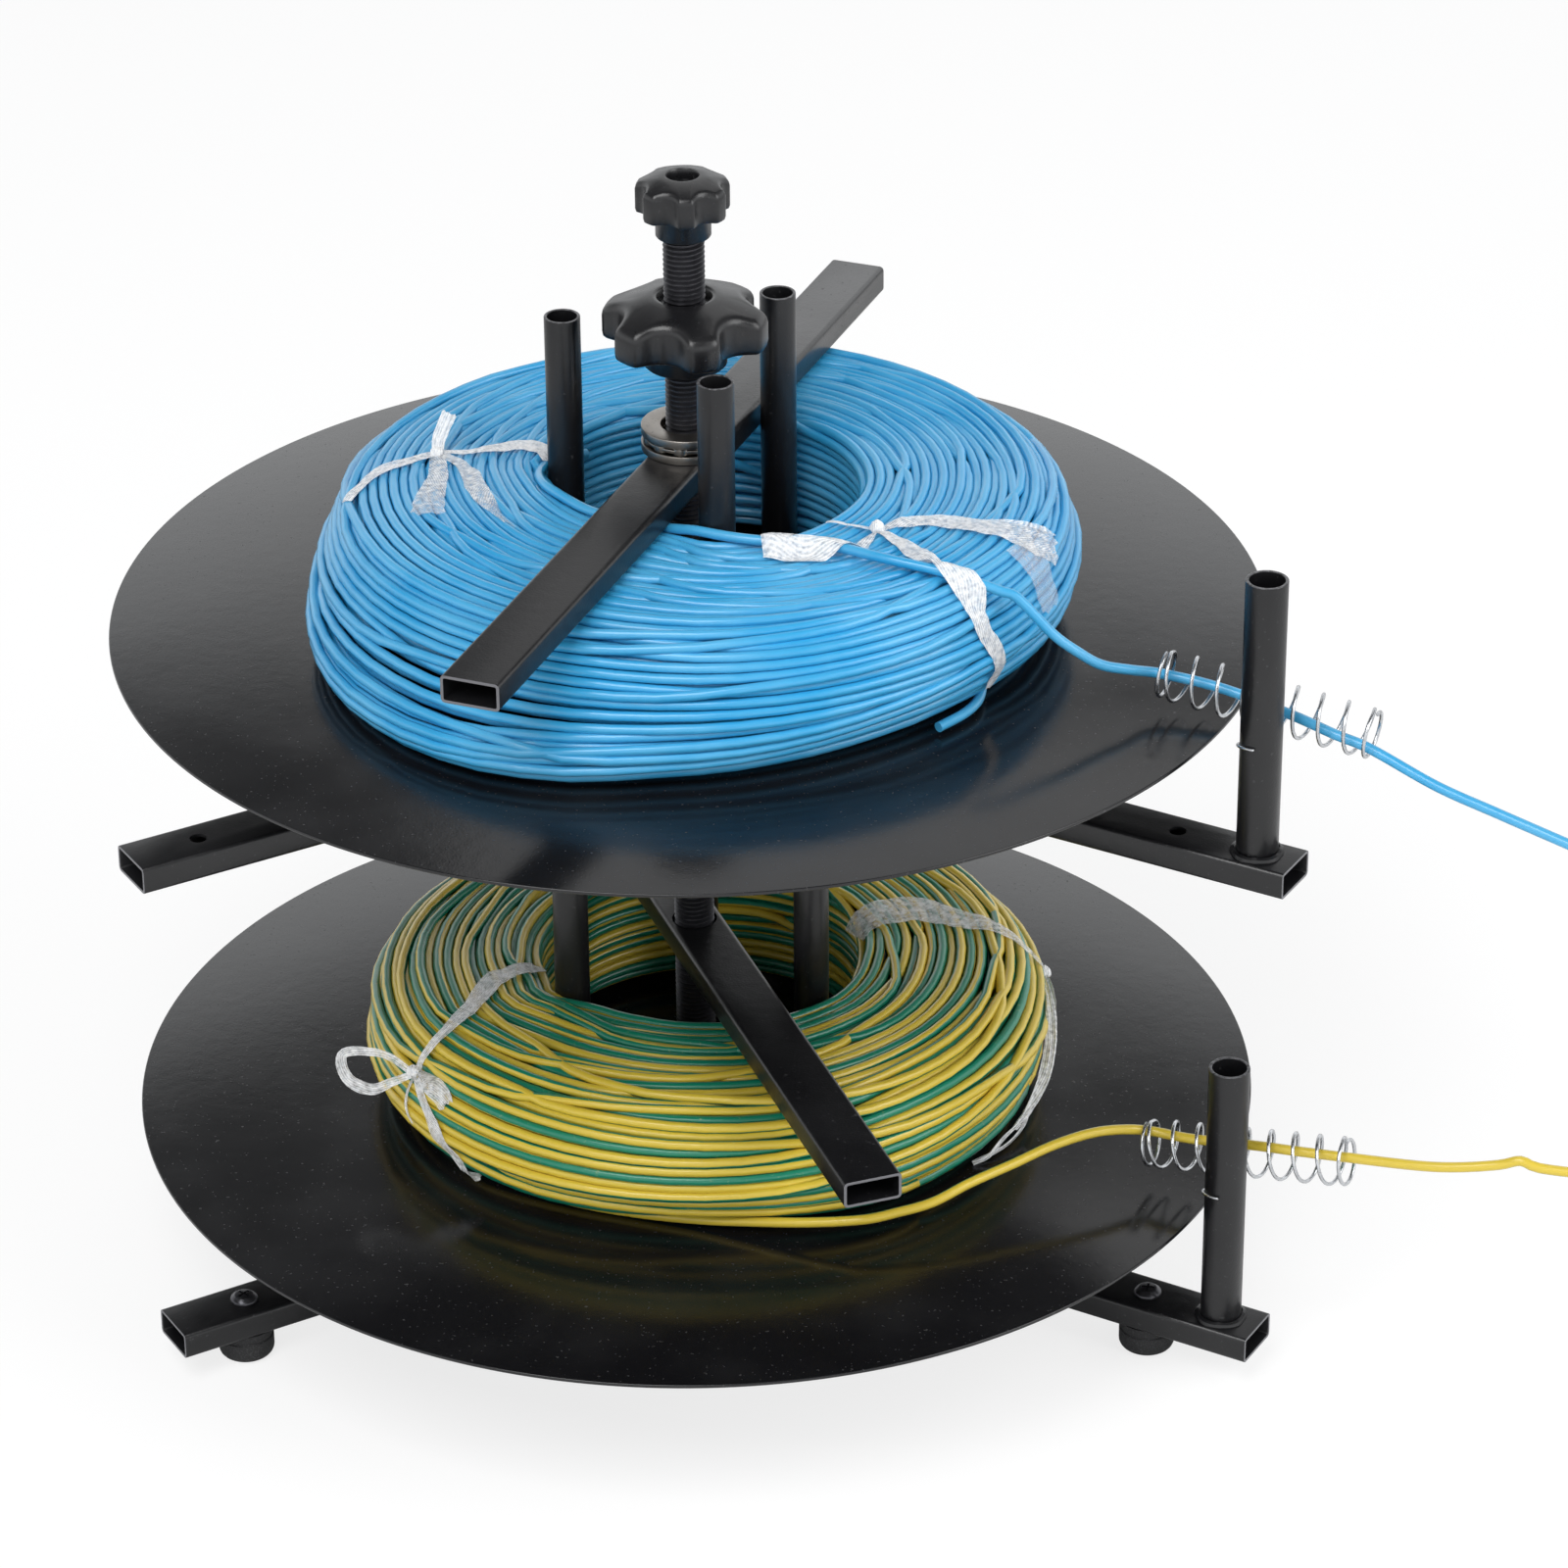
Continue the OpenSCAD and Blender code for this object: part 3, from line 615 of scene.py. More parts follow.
def keep_inside(p, tier, wire_r):
    """Pushes section points back to where a wire stays within the coil's form."""
    small = INNER_ROUND[tier]
    rim_c, bore_c = COIL_RIM[tier] - OUTER_ROUND, COIL_BORE[tier] + small
    for centre_r, big, side in ((rim_c, OUTER_ROUND, 1), (bore_c, small, -1)):
        beyond = (p[:, 0] - centre_r) * side > 0
        centre_z = np.clip(p[:, 1], big, COIL_H - big)
        offset = p - np.stack([np.full(len(p), float(centre_r)), centre_z], axis=-1)
        dist = np.linalg.norm(offset, axis=1) + 1e-9
        limit = big - wire_r + (0.8 if side > 0 else 0)
        far = beyond & (dist > limit)
        p[far] -= offset[far] * (1 - limit / dist[far])[:, None]
    p[:, 1] = np.clip(p[:, 1], wire_r, COIL_H - wire_r)
    return p


def settle(wires, fixed, strand, tier, wire_d, rounds):
    """Lets the wires of a coil lie on each other: overlapping turns part, and each wire stays smooth.

    wires and fixed are lists of (first station, section points); strand is a free wire in plan."""
    movable = np.concatenate([w for _, w in wires])
    held = np.concatenate([w for _, w in fixed])
    p = np.concatenate([movable, held])
    aim = p.copy()
    stations = np.concatenate([(first + np.arange(len(w))) % STATIONS for first, w in wires + fixed])
    free = np.arange(len(p)) < len(movable)
    before, after = np.arange(len(p)) - 1, np.arange(len(p)) + 1
    start = 0
    for _, w in wires + fixed:
        last = start + len(w) - 1
        ring = len(w) == STATIONS
        before[start] = last if ring else start
        after[last] = start if ring else last
        start += len(w)
    groups = [np.nonzero(stations == s)[0] for s in range(STATIONS)]
    most = max(len(g) for g in groups)
    index = np.full((STATIONS, most), -1)
    for s, g in enumerate(groups):
        index[s, : len(g)] = g
    real = index >= 0
    flat = index[real]
    weight = np.where(free, 1.0, 0.0)
    packed_weight = np.zeros((STATIONS, most))
    packed_weight[real] = weight[flat]
    share = packed_weight[:, :, None] / np.maximum(packed_weight[:, :, None] + packed_weight[:, None, :], 1e-9)
    azimuth = np.radians(stations * 360 / STATIONS)
    outward = np.stack([np.cos(azimuth), np.sin(azimuth)], axis=-1)
    spacing = np.arange(most) * 1000.0
    for step in range(rounds):
        packed = np.zeros((STATIONS, most, 2))
        packed[:, :, 0] = -5000.0 - spacing
        packed[real] = p[flat]
        gap = packed[:, :, None] - packed[:, None, :]
        dist = np.linalg.norm(gap, axis=-1) + np.eye(most) * 100 + 1e-6
        overlap = np.clip(wire_d - dist, 0, None)
        push = (gap / dist[..., None] * (overlap * share)[..., None]).sum(axis=2)
        p[flat] += 0.6 * push[real]
        if step < rounds * 0.75:
            p[free] += 0.03 * (aim - p)[free]
        middle = (p[before] + p[after]) / 2
        p[free] += 0.35 * (middle - p)[free]
        spot = np.concatenate([outward * p[:, :1], p[:, 1:]], axis=-1)
        apart = spot[:, None] - strand[None]
        far = np.linalg.norm(apart, axis=-1)
        near = far.argmin(axis=1)
        row = np.arange(len(p))
        close = np.clip(wire_d - far[row, near], 0, None) * free
        shove = apart[row, near] / np.maximum(far[row, near], 1e-6)[:, None] * close[:, None]
        p += np.stack([(shove[:, :2] * outward).sum(axis=1), shove[:, 2]], axis=-1)
        p[free] = keep_inside(p[free], tier, wire_d / 2)
    out, start = [], 0
    for first, w in wires + fixed:
        out.append((first, p[start : start + len(w)]))
        start += len(w)
    return out


def slide(tier, azimuth, r, z):
    """How far outward a coil's turns have moved from its round form, at an azimuth in degrees."""
    lip = np.interp(azimuth, *np.transpose(LIP[tier]), period=360)
    foot = np.interp(azimuth, *np.transpose(FOOT[tier]), period=360)
    across = np.clip((COIL_RIM[tier] - r) / (COIL_RIM[tier] - COIL_BORE[tier]), 0, 1)
    low = np.clip((36 - z) / 33, 0, 1)
    out = np.clip((r - 92) / 38, 0, 1)
    return lip * across + foot * low * low * (3 - 2 * low) * out * out * (3 - 2 * out)


def in_space(tier, first, section):
    """Section points at their stations, as points round the coil's own axis."""
    azimuth = (first + np.arange(len(section))) * 360 / STATIONS
    r = section[:, 0] + slide(tier, azimuth, section[:, 0], section[:, 1])
    a = np.radians(azimuth)
    return np.stack([r * np.cos(a), r * np.sin(a), section[:, 1]], axis=-1)


def in_form(tier, points):
    """Points round a coil's axis, moved to where they would lie if the coil were round."""
    azimuth = np.degrees(np.arctan2(points[:, 1], points[:, 0]))
    reach = np.hypot(points[:, 0], points[:, 1])
    r = reach.copy()
    for _ in range(6):
        r = reach - slide(tier, azimuth, r, points[:, 2])
    scale = r / reach
    return np.stack([points[:, 0] * scale, points[:, 1] * scale, points[:, 2]], axis=-1)


def wound_coil(tier, wire_d, loose, seed):
    """Wires of one coil: (points, layer) pairs round the spindle, from its disc's top up."""
    rng = random.Random(seed)
    under = section_line(tier, wire_d / 2 + 4.7)
    over = section_line(tier, wire_d / 2 + 2.2)
    top = section_line(tier, wire_d / 2)
    wires, fixed = [], []
    length = line_length(under)
    turns = int(length / (wire_d * 1.06))
    count = turns * STATIONS
    way = np.linspace(wire_d / 2, length - wire_d / 2, count) + drift(count, seed + 5, 2.0, 0.3)
    fixed.append((0, along_line(under, way)))
    length = line_length(over)
    turns = int(length / (wire_d * 1.12))
    count = turns * STATIONS
    way = np.linspace(wire_d / 2, length, count) + drift(count, seed, 4.5, 0.22)
    wires.append((7, along_line(over, way)))
    length = line_length(top)
    for share, swing, peak in loose:
        first = rng.randrange(STATIONS)
        azimuth = np.radians((first + np.arange(STATIONS)) * 360 / STATIONS - peak)
        way = share * length - swing * np.cos(azimuth) + 2.5 * np.sin(2 * azimuth + peak)
        wires.append((first, along_line(top, np.clip(way, 6, length - 6))))
    strand = in_form(tier, np.array(smooth_path(FREE_WIRE[tier][0], 3)) - np.array((COIL_X, 0, 0)))
    settled = settle(wires, fixed, strand, tier, wire_d, 130)
    shift = np.array((COIL_X, 0, DISC_TOP[tier]))
    return [
        (in_space(tier, first, w) + shift, i >= len(wires)) for i, (first, w) in enumerate(settled)
    ]


def free_wire(tier):
    """The wire that runs free from a coil to its cut end: points, where it leaves the coil, colour line."""
    strand, route = FREE_WIRE[tier]
    path = smooth_path(strand[:-1] + route, 2.5)
    leaves = int(np.linalg.norm(np.array(path) - np.array(route[0]), axis=1).argmin())
    stripe = [1.0 + 0.6 * noise.noise(Vector((i / 60, 3.3, 0))) for i in range(len(path))]
    return [p + np.array((0, 0, DISC_TOP[tier])) for p in path], leaves, stripe


def twist_along(points, seed):
    """How far the line between two colours has turned at each point of a wire."""
    way = np.concatenate([[0], np.cumsum(np.linalg.norm(np.diff(np.array(points), axis=0), axis=1))])
    offset = random.Random(seed).uniform(0, 50)
    return np.array([offset + w / 310.0 + 2.6 * noise.noise(Vector((w / 420.0, offset, 0))) for w in way])


# --- Sizes and colours ----------------------------------------------------------------------------


def colour_prop(name, description, code):
    return bpy.props.FloatVectorProperty(
        name=name, description=description, subtype="COLOR", size=3, min=0, max=1, default=srgb(code)
    )


class StandColours(bpy.types.PropertyGroup):
    """Colours of the stand's finishes."""

    paint: colour_prop("Paint", "Black satin paint of the frame and discs", "#101012")
    dust: colour_prop("Dust", "Fine dust on black surfaces", "#5a5a5c")
    # Grey of the painted highlight along cut ends and rims, not bare steel.
    rim_highlight: colour_prop("Bare edge", "Steel that shows at cut edges", "#6a6a6e")
    rubber: colour_prop("Rubber", "Rubber of the feet", "#1b1b1c")
    plastic: colour_prop("Plastic", "Moulded plastic of the knobs", "#141416")
    steel: colour_prop("Steel", "Bright steel of nuts, bearings and springs", "#c6c8cb")
    steel_stain: colour_prop("Steel stain", "Stains and oil on bright steel", "#7d7b78")
    race: colour_prop("Races", "Ground steel of the bearings", "#97928c")
    rod: colour_prop("Rod", "Blackened steel of the spindle", "#3c3c40")
    # Lighter colour painted on the thread's crests as a painted highlight for glints.
    crest_glint: colour_prop("Rod crests", "Rubbed crests of the thread", "#66666a")
    blue: colour_prop("Blue", "Insulation of the upper coil", "#2b98cc")
    blue_dull: colour_prop("Dull blue", "Scuffed insulation of the upper coil", "#49a4d2")
    yellow: colour_prop("Yellow", "Yellow of the earth wire", "#d2b83c")
    green: colour_prop("Green", "Green of the earth wire", "#0f7c60")
    earth_dull: colour_prop("Dull earth wire", "Scuffs on the earth wire", "#d8cf8a")
    copper: colour_prop("Copper", "Cut ends of the wires", "#c77a4d")
    tape: colour_prop("Tape", "Plastic tape round the coils", "#ffffff")
    tape_shade: colour_prop("Tape shade", "Shaded fibres of the tape", "#e2e8ee")


class StandSizes(bpy.types.PropertyGroup):
    """Sizes of the stand's visible pieces."""

    wire_d: bpy.props.FloatProperty(
        name="Wire", description="Diameter of the insulated wire", unit="LENGTH", default=4 * MM, min=3 * MM,
        max=4 * MM,
    )
    pitch: bpy.props.FloatProperty(
        name="Pitch", description="Pitch of the spindle's thread", unit="LENGTH", default=2 * MM, min=1.5 * MM,
        max=2.5 * MM,
    )
    spring_wire: bpy.props.FloatProperty(
        name="Spring wire", description="Diameter of the springs' wire", unit="LENGTH", default=1.5 * MM, min=1 * MM,
        max=2 * MM,
    )


def sizes():
    return bpy.context.scene.stand_sizes


class PieceOperator(bpy.types.Operator):
    """Common to every operator of the stand."""

    bl_options = {"REGISTER", "UNDO"}

    def execute(self, context):
        self.build(context)
        return {"FINISHED"}


class MakeFinishes(PieceOperator):
    """Makes every finish of the stand"""

    bl_idname = "stand.finishes"
    bl_label = "Finishes"

    def build(self, context):
        c = context.scene.stand_colours
        paint_finish("black_paint", c, 0.31, 0.05)
        paint_finish("disc_paint", c, 0.18, 0.02)
        rubber_finish(c)
        steel_finish("zinc_steel", c.steel, c.steel_stain, 0.33)
        steel_finish("bearing_steel", c.race, c.steel_stain, 0.34)
        steel_finish("spring_steel", c.steel, c.steel_stain, 0.26)
        steel_finish("copper", c.copper, c.steel_stain, 0.4)
        rod_finish(c)
        knob_finish(c)
        wire_finish("blue_pvc", c.blue, None, c.blue_dull)
        wire_finish("earth_pvc", c.yellow, c.green, c.earth_dull)
        tape_finish(c)


class MakeStage(PieceOperator):
    """Sets the floor, the lamps, the background and the camera"""

    bl_idname = "stand.stage"
    bl_label = "Stage"

    def build(self, context):
        self.set_camera(context.scene)
        self.set_world(context.scene)
        self.set_floor()
        self.set_lamps()

    def set_camera(self, scene):
        lens = bpy.data.cameras.new("camera")
        lens.sensor_width = 36
        lens.lens = 36 * 5844 / 1600
        lens.clip_end = 50
        view = bpy.data.objects.new("camera", lens)
        view.matrix_world = (
            Matrix.Translation((0.0363, -1.9875, 1.2905))
            @ Matrix.Rotation(math.radians(90 - 28.8), 4, "X")
            @ Matrix.Rotation(math.radians(-0.43), 4, "Z")
        )
        scene.collection.objects.link(view)
        scene.camera = view

    def set_world(self, scene):
        scene.view_settings.view_transform = "Standard"
        world = bpy.data.worlds.new("studio")
        scene.world = world
        world.use_nodes = True
        tree = world.node_tree
        sky = tree.nodes["Background"]
        sky.inputs["Color"].default_value = (0.97, 0.985, 1, 1)
        # The studio is bright up to where its backdrop ends, and dim above.
        way = tree.nodes.new("ShaderNodeTexCoord")
        split = tree.nodes.new("ShaderNodeSeparateXYZ")
        ramp = tree.nodes.new("ShaderNodeMapRange")
        ramp.interpolation_type = "SMOOTHSTEP"
        for name, value in (("From Min", 0.41), ("From Max", 0.52), ("To Min", 1.3), ("To Max", 0.16)):
            ramp.inputs[name].default_value = value
        tree.links.new(way.outputs["Generated"], split.inputs[0])
        tree.links.new(split.outputs["Z"], ramp.inputs["Value"])
        tree.links.new(ramp.outputs[0], sky.inputs["Strength"])
        white = tree.nodes.new("ShaderNodeBackground")
        white.inputs["Strength"].default_value = 1.0
        ray = tree.nodes.new("ShaderNodeLightPath")
        mix = tree.nodes.new("ShaderNodeMixShader")
        out = tree.nodes["World Output"]
        tree.links.new(ray.outputs["Is Camera Ray"], mix.inputs[0])
        tree.links.new(sky.outputs[0], mix.inputs[1])
        tree.links.new(white.outputs[0], mix.inputs[2])
        tree.links.new(mix.outputs[0], out.inputs[0])

    def set_floor(self):
        bm = bmesh.new()
        bmesh.ops.create_grid(bm, x_segments=1, y_segments=1, size=12)
        bmesh.ops.translate(bm, vec=(0, 6, 0), verts=bm.verts)
        mesh = bpy.data.meshes.new("floor")
        bm.to_mesh(mesh)
        bm.free()
        floor = bpy.data.objects.new("floor", mesh)
        bpy.context.collection.objects.link(floor)
        f = Finish("floor", roughness=1.0)
        f.shader.inputs["Base Color"].default_value = (0.9, 0.9, 0.9, 1)
        f.shader.inputs["Specular IOR Level"].default_value = 0.0
        glow = f.node("Emission", {}, {"Strength": 1.07})
        ray = f.node("LightPath")
        mixed = f.node("MixShader", {}, {0: ray * 0.72, 1: Value(f, f.shader.outputs[0]), 2: glow})
        f.feed(f.tree.nodes["Material Output"].inputs[0], mixed)
        mesh.materials.append(f.material)

    def set_lamps(self):
        for name, place, size, power, aim in (
            ("key", (-0.7, -1.6, 2.5), 1.6, 52, (0, 0, 0.2)),
            ("fill", (1.9, -0.9, 1.6), 1.5, 27, (0, 0, 0.2)),
            ("back", (0.4, 1.9, 2.6), 1.8, 9, (0, 0, 0.2)),
        ):
            lamp = bpy.data.lights.new(name, "AREA")
            lamp.size = size
            lamp.energy = power
            holder = bpy.data.objects.new(name, lamp)
            way = Vector(aim) - Vector(place)
            holder.matrix_world = Matrix.Translation(place) @ way.to_track_quat("-Z", "Y").to_matrix().to_4x4()
            bpy.context.collection.objects.link(holder)


class MakePayoffWires(PieceOperator):
    """Makes the two wires that run from the coils through the springs to their cut ends"""

    bl_idname = "stand.payoff_wires"
    bl_label = "Pay-off wires"

    def build(self, context):
        for tier, finish, node in (
            ("upper", "blue_pvc", "blue_payoff_wire"),
            ("lower", "earth_pvc", "yellow_payoff_wire"),
        ):
            radius = sizes().wire_d / MM / 2
            whole, leaves, stripe = free_wire(tier)
            lead = wire(whole, radius, 12, stripe, keep=(leaves, len(whole)))
            obj = piece(lead, node.replace("_wire", "_lead"), "base", finish, node)
            path = whole[leaves:]
            end, before = Vector(path[-1]), Vector(path[-2])
            turn = (end - before).to_track_quat("Z", "Y").to_matrix().to_4x4()
            core = turned([(0, -6), (0.9, -6), (0.9, 0.4), (0, 0.4)], 0.15, 24, closed=False)
            bmesh.ops.transform(core, matrix=Matrix.Translation(end) @ turn, verts=core.verts)
            tip = piece(core, node.replace("_wire", "_core"), "base", "copper")
            tuple(c * MM for c in path[0])
            [tuple(c * MM for c in p) for p in path]


class MakeArms(PieceOperator):
    """Makes both three-armed frames, with their hubs and welds"""

    bl_idname = "stand.arms"
    bl_label = "Arms and hubs"

    def build(self, context):
        for tier in ("lower", "upper"):
            top = ARM_TOP[tier]
            for arm, az in ARM_AZ.items():
                node = ("base" if tier == "lower" else "upper") + "_arm_" + arm
                reach = GUIDE_R[tier] + 16 if arm == "guide" else ARM_REACH[tier]
                tube = square_tube(19.4, reach)
                hole = HOLE_R[tier]
                drill = turned([(0, -9), (hole, -9), (hole, 9), (0, 9)], 0, 32, closed=False)
                bmesh.ops.translate(drill, vec=(HOLE_AT[tier], 0, 0), verts=drill.verts)
                tube = carved(tube, drill)
                place = at(z=top - TUBE_H / 2, turn=az)
                piece(tube, node + "_tube", "base", "black_paint", node, place=place)
            node = "base_hub" if tier == "lower" else "upper_hub"
            low = top - TUBE_H
            parts = [(turned([(BORE_R, 0), (20, 0), (20, TUBE_H), (BORE_R, TUBE_H)], 0.6), at(z=low))]
            for i, az in enumerate(ARM_AZ.values()):
                for j, z in enumerate((low, top)):
                    sweep = ring_path(20.4, z, 14, 0, az - 34, 68)
                    parts.append((weld_bead(sweep, 1.3, 10 * i + j), at()))
                for side in (-1, 1):
                    a = math.radians(az + side * 37.5)
                    stand = [(20.2 * math.cos(a), 20.2 * math.sin(a), low + k) for k in range(TUBE_H + 1)]
                    parts.append((weld_bead(stand, 1.5, 10 * i + side + 3), at()))
            piece(joined(*parts), node + "_boss", "base", "black_paint", node)


class MakeFeet(PieceOperator):
    """Makes the rubber feet and their screws"""

    bl_idname = "stand.feet"
    bl_label = "Feet and screws"

    def build(self, context):
        screws = []
        for arm, az in ARM_AZ.items():
            foot = turned(
                [(0, 0), (11, 0), (11, 8.6), (10.4, 8.9), (10.4, 9.9), (11, 10.2), (11, 13), (0, 13)],
                0.25, 64, {1: 3.4}, closed=False,
            )
            node = "foot_" + arm
            piece(foot, node + "_rubber", "base", "foot_rubber", node, place=at(turn=az) @ at(HOLE_AT["lower"]))
            head = turned(
                [(0, -12), (2.9, -12), (2.9, 0), (5.5, 0), (5.5, 1.2), (3.6, 2.7), (0, 3.2)],
                0.3, 48, {4: 0.6}, closed=False,
            )
            for long, short in ((5.2, 1.0), (1.0, 5.2)):
                slot = bmesh.new()
                bmesh.ops.create_cube(slot, size=1)
                bmesh.ops.scale(slot, vec=(long, short, 3), verts=slot.verts)
                bmesh.ops.translate(slot, vec=(0, 0, 3.2), verts=slot.verts)
                head = carved(head, slot)
            screws.append((head, at(turn=az) @ at(HOLE_AT["lower"], 0, ARM_TOP["lower"], 20)))
        # Far from the spindle's axis the rod finish counts every point as a crest, so the screw heads get its lighter
        # crest colour in patches as a painted highlight.
        piece(joined(*screws), "foot_screw_heads", "base", "rod_steel", "foot_screws")


class MakeSpindle(PieceOperator):
    """Makes the threaded spindle and its nuts"""

    bl_idname = "stand.spindle"
    bl_label = "Spindle and nuts"

    def build(self, context):
        pitch = sizes().pitch / MM
        low, high = height_of("spindle", 0), height_of("spindle", 1)
        root = ROD_R - 0.61 * pitch
        bm = bmesh.new()
        profile = [(root, 0), (root, 0.12), (ROD_R, 0.46), (ROD_R, 0.56), (root, 0.9), (root, 1)]
        chain = [bm.verts.new((r, 0, z * pitch)) for r, z in profile]
        edges = [bm.edges.new(pair) for pair in zip(chain, chain[1:])]
        bmesh.ops.spin(
            bm, geom=chain + edges, cent=(0, 0, 0), axis=(0, 0, 1), dvec=(0, 0, pitch / 24),
            angle=math.tau, steps=24, use_merge=False, use_duplicate=False,
        )
        turns = int((high - low) / pitch) - 1
        thread = joined(*((bm.copy(), at(z=low + k * pitch)) for k in range(turns)))
        bm.free()
        bmesh.ops.remove_doubles(thread, verts=thread.verts, dist=1e-3)
        parts = [(thread, at())]
        for z, facing in ((low, -1), (high, 1)):
            end = z - facing * 2.2
            profile = [(0, z), (root - 0.6, z), (root + 0.15, end)]
            profile += [(root + 0.15, end - facing * 3), (0, end - facing * 3)]
            parts.append((turned(profile, 0.2, 48, closed=False), at()))
        whole = joined(*parts)
        bmesh.ops.recalc_face_normals(whole, faces=whole.faces)
        piece(whole, "spindle_thread", "base", "rod_steel", "spindle", crease=50)
        for node in ("base_lock_nut", "lower_stack_nut", "upper_lock_nut", "upper_stack_nut"):
            z, h = height_of(node, 0), height_of(node, 1) - height_of(node, 0)
            piece(self.hex_nut(h), node + "_hex", "base", "zinc_steel", node, place=at(z=z, turn=30), crease=25)

    def hex_nut(self, h):
        across = 24 / math.cos(math.radians(30))
        bm = bmesh.new()
        bmesh.ops.create_cone(bm, cap_ends=True, segments=6, radius1=across / 2, radius2=across / 2, depth=h)
        bmesh.ops.translate(bm, vec=(0, 0, h / 2), verts=bm.verts)
        bmesh.ops.rotate(bm, cent=(0, 0, 0), matrix=Matrix.Rotation(math.radians(30), 3, "Z"), verts=bm.verts)
        rise = 1.1
        r = across / 2
        chamfer = turned([(BORE_R, 0), (11.8, 0), (r + 0.1, rise), (r + 0.1, h - rise), (11.8, h), (BORE_R, h)], 0, 72)
        return carved(bm, chamfer, "INTERSECT")


BEARINGS = {
    "lower": ("lower_bearing_bottom_race", "lower_bearing_cage", "lower_bearing_top_race"),
    "upper": ("upper_bearing_bottom_race", "upper_bearing_cage", "upper_bearing_top_race"),
    "clamp": ("clamp_bearing_bottom_race", "clamp_bearing_cage", "clamp_bearing_top_race"),
}
RACE_BODIES = {
    "lower": ("base", "lower_cage", "lower_turntable"),
    "upper": ("base", "upper_cage", "upper_turntable"),
    "clamp": ("upper_bar", "clamp_cage", "clamp_top"),
}


class MakeBearings(PieceOperator):
    """Makes the thrust bearings: two races and a cage of balls each"""

    bl_idname = "stand.bearings"
    bl_label = "Bearings"

    def build(self, context):
        for key, nodes in BEARINGS.items():
            low = height_of(nodes[0], 0)
            flip = Matrix.Rotation(math.pi, 4, "X")
            made = (
                (self.race(), "_ring", at(z=low)), (self.cage(), "_balls", at(z=low + 5)),
                (self.race(), "_ring", at(z=low + 10) @ flip),
            )
            for node, body, (shape, ending, place) in zip(nodes, RACE_BODIES[key], made):
                piece(shape, node + ending, body, "bearing_steel", node, place=place)

    def race(self):
        groove = [
            (13.75 + 3.1 * math.cos(math.radians(a)), 5 + 3.1 * math.sin(math.radians(a)))
            for a in range(-148, -30, 8)
        ]
        groove = [(r, z) for r, z in groove if z < 3.4]
        profile = [(10, 0), (17.5, 0), (17.5, 3.4)] + [(r, z) for r, z in reversed(groove)] + [(10, 3.4)]
        rounds = {i: 0 for i in range(3, 3 + len(groove))}
        return turned(profile, 0.35, 96, rounds)

    def cage(self):
        parts = [(turned([(11, -0.7), (16.5, -0.7), (16.5, 0.7), (11, 0.7)], 0.25, 96), at())]
        for i in range(11):
            ball = bmesh.new()
            bmesh.ops.create_icosphere(ball, subdivisions=3, radius=2.8)
            place = at(turn=360 * i / 11) @ at(13.75)
            parts.append((ball, place))
            parts.append((turned([(2.9, -1.2), (3.3, -1.2), (3.3, 1.2), (2.9, 1.2)], 0.1, 32), place))
        return joined(*parts)


class MakeGuides(PieceOperator):
    """Makes the guide posts, their springs and the wires that tie them"""

    bl_idname = "stand.guides"
    bl_label = "Guide posts and springs"

    SPRINGS = {"lower": (23.2, 0.13, -39, 40), "upper": (10.1, -0.115, -46, 34)}

    def build(self, context):
        for tier in ("lower", "upper"):
            a = math.radians(330)
            x, y = GUIDE_R[tier] * math.cos(a), GUIDE_R[tier] * math.sin(a)
            top = ARM_TOP[tier]
            post = turned([(6.7, 0), (8, 0), (8, GUIDE_POST_H), (6.7, GUIDE_POST_H)], 0.3, 64)
            # Marks the open top of the post for a grey painted highlight on its lip.
            worn = post.verts.layers.float.new("worn")
            for v in post.verts:
                v[worn] = 0.62 if v.co.z > GUIDE_POST_H - 0.25 else 0.0
            bead = weld_bead(ring_path(8.6, 0.5, 36, 0.25), 1.5, 3)
            piece(
                joined((post, at(x, y, top)), (bead, at(x, y, top))),
                tier + "_guide_tube", "base", "black_paint", tier + "_guide_post",
            )
            spring = wire(self.spring_path(tier, x, y), sizes().spring_wire / MM / 2, 10)
            piece(spring, tier + "_spring_coil", "base", "spring_steel", tier + "_guide_spring", crease=60)
            node = tier + "_tie_wire"
            z = (height_of(node, 0) + height_of(node, 1)) / 2
            hook = ring_path(8.7, 0, 36, 0, 330 + 88, 190)
            hook = [(p[0], p[1], 3.5 * math.sin((i - 18) / 12)) for i, p in enumerate(hook)]
            tie = wire(hook, 0.6, 8)
            piece(tie, node + "_hook", "base", "spring_steel", node, place=at(x, y, z), crease=60)

    def spring_path(self, tier, x, y):
        rise, slope, first, last = self.SPRINGS[tier]
        turn = math.radians(330)
        mid = Vector((x - 18.8 * math.sin(turn), y + 18.8 * math.cos(turn), DISC_TOP[tier] + rise))
        az = math.radians(-23)
        along = Vector((math.cos(az), math.sin(az), slope)).normalized()
        side = along.cross(Vector((0, 0, 1))).normalized()
        up = side.cross(along)
        radius = 10 - sizes().spring_wire / MM / 2
        points = []
        for k in range(-30, 8 * 30 + 31):
            u = k / 30
            if u < 0:
                s = first + 1.6 * u
            elif u > 8:
                s = last + 1.6 * (u - 8)
            else:
                s = first + (last - first) * u / 8
            squeeze = radius - (0.5 if u < 0 or u > 8 else 0)
            points.append(mid + s * along + squeeze * (math.cos(math.tau * u) * up + math.sin(math.tau * u) * side))
        return points


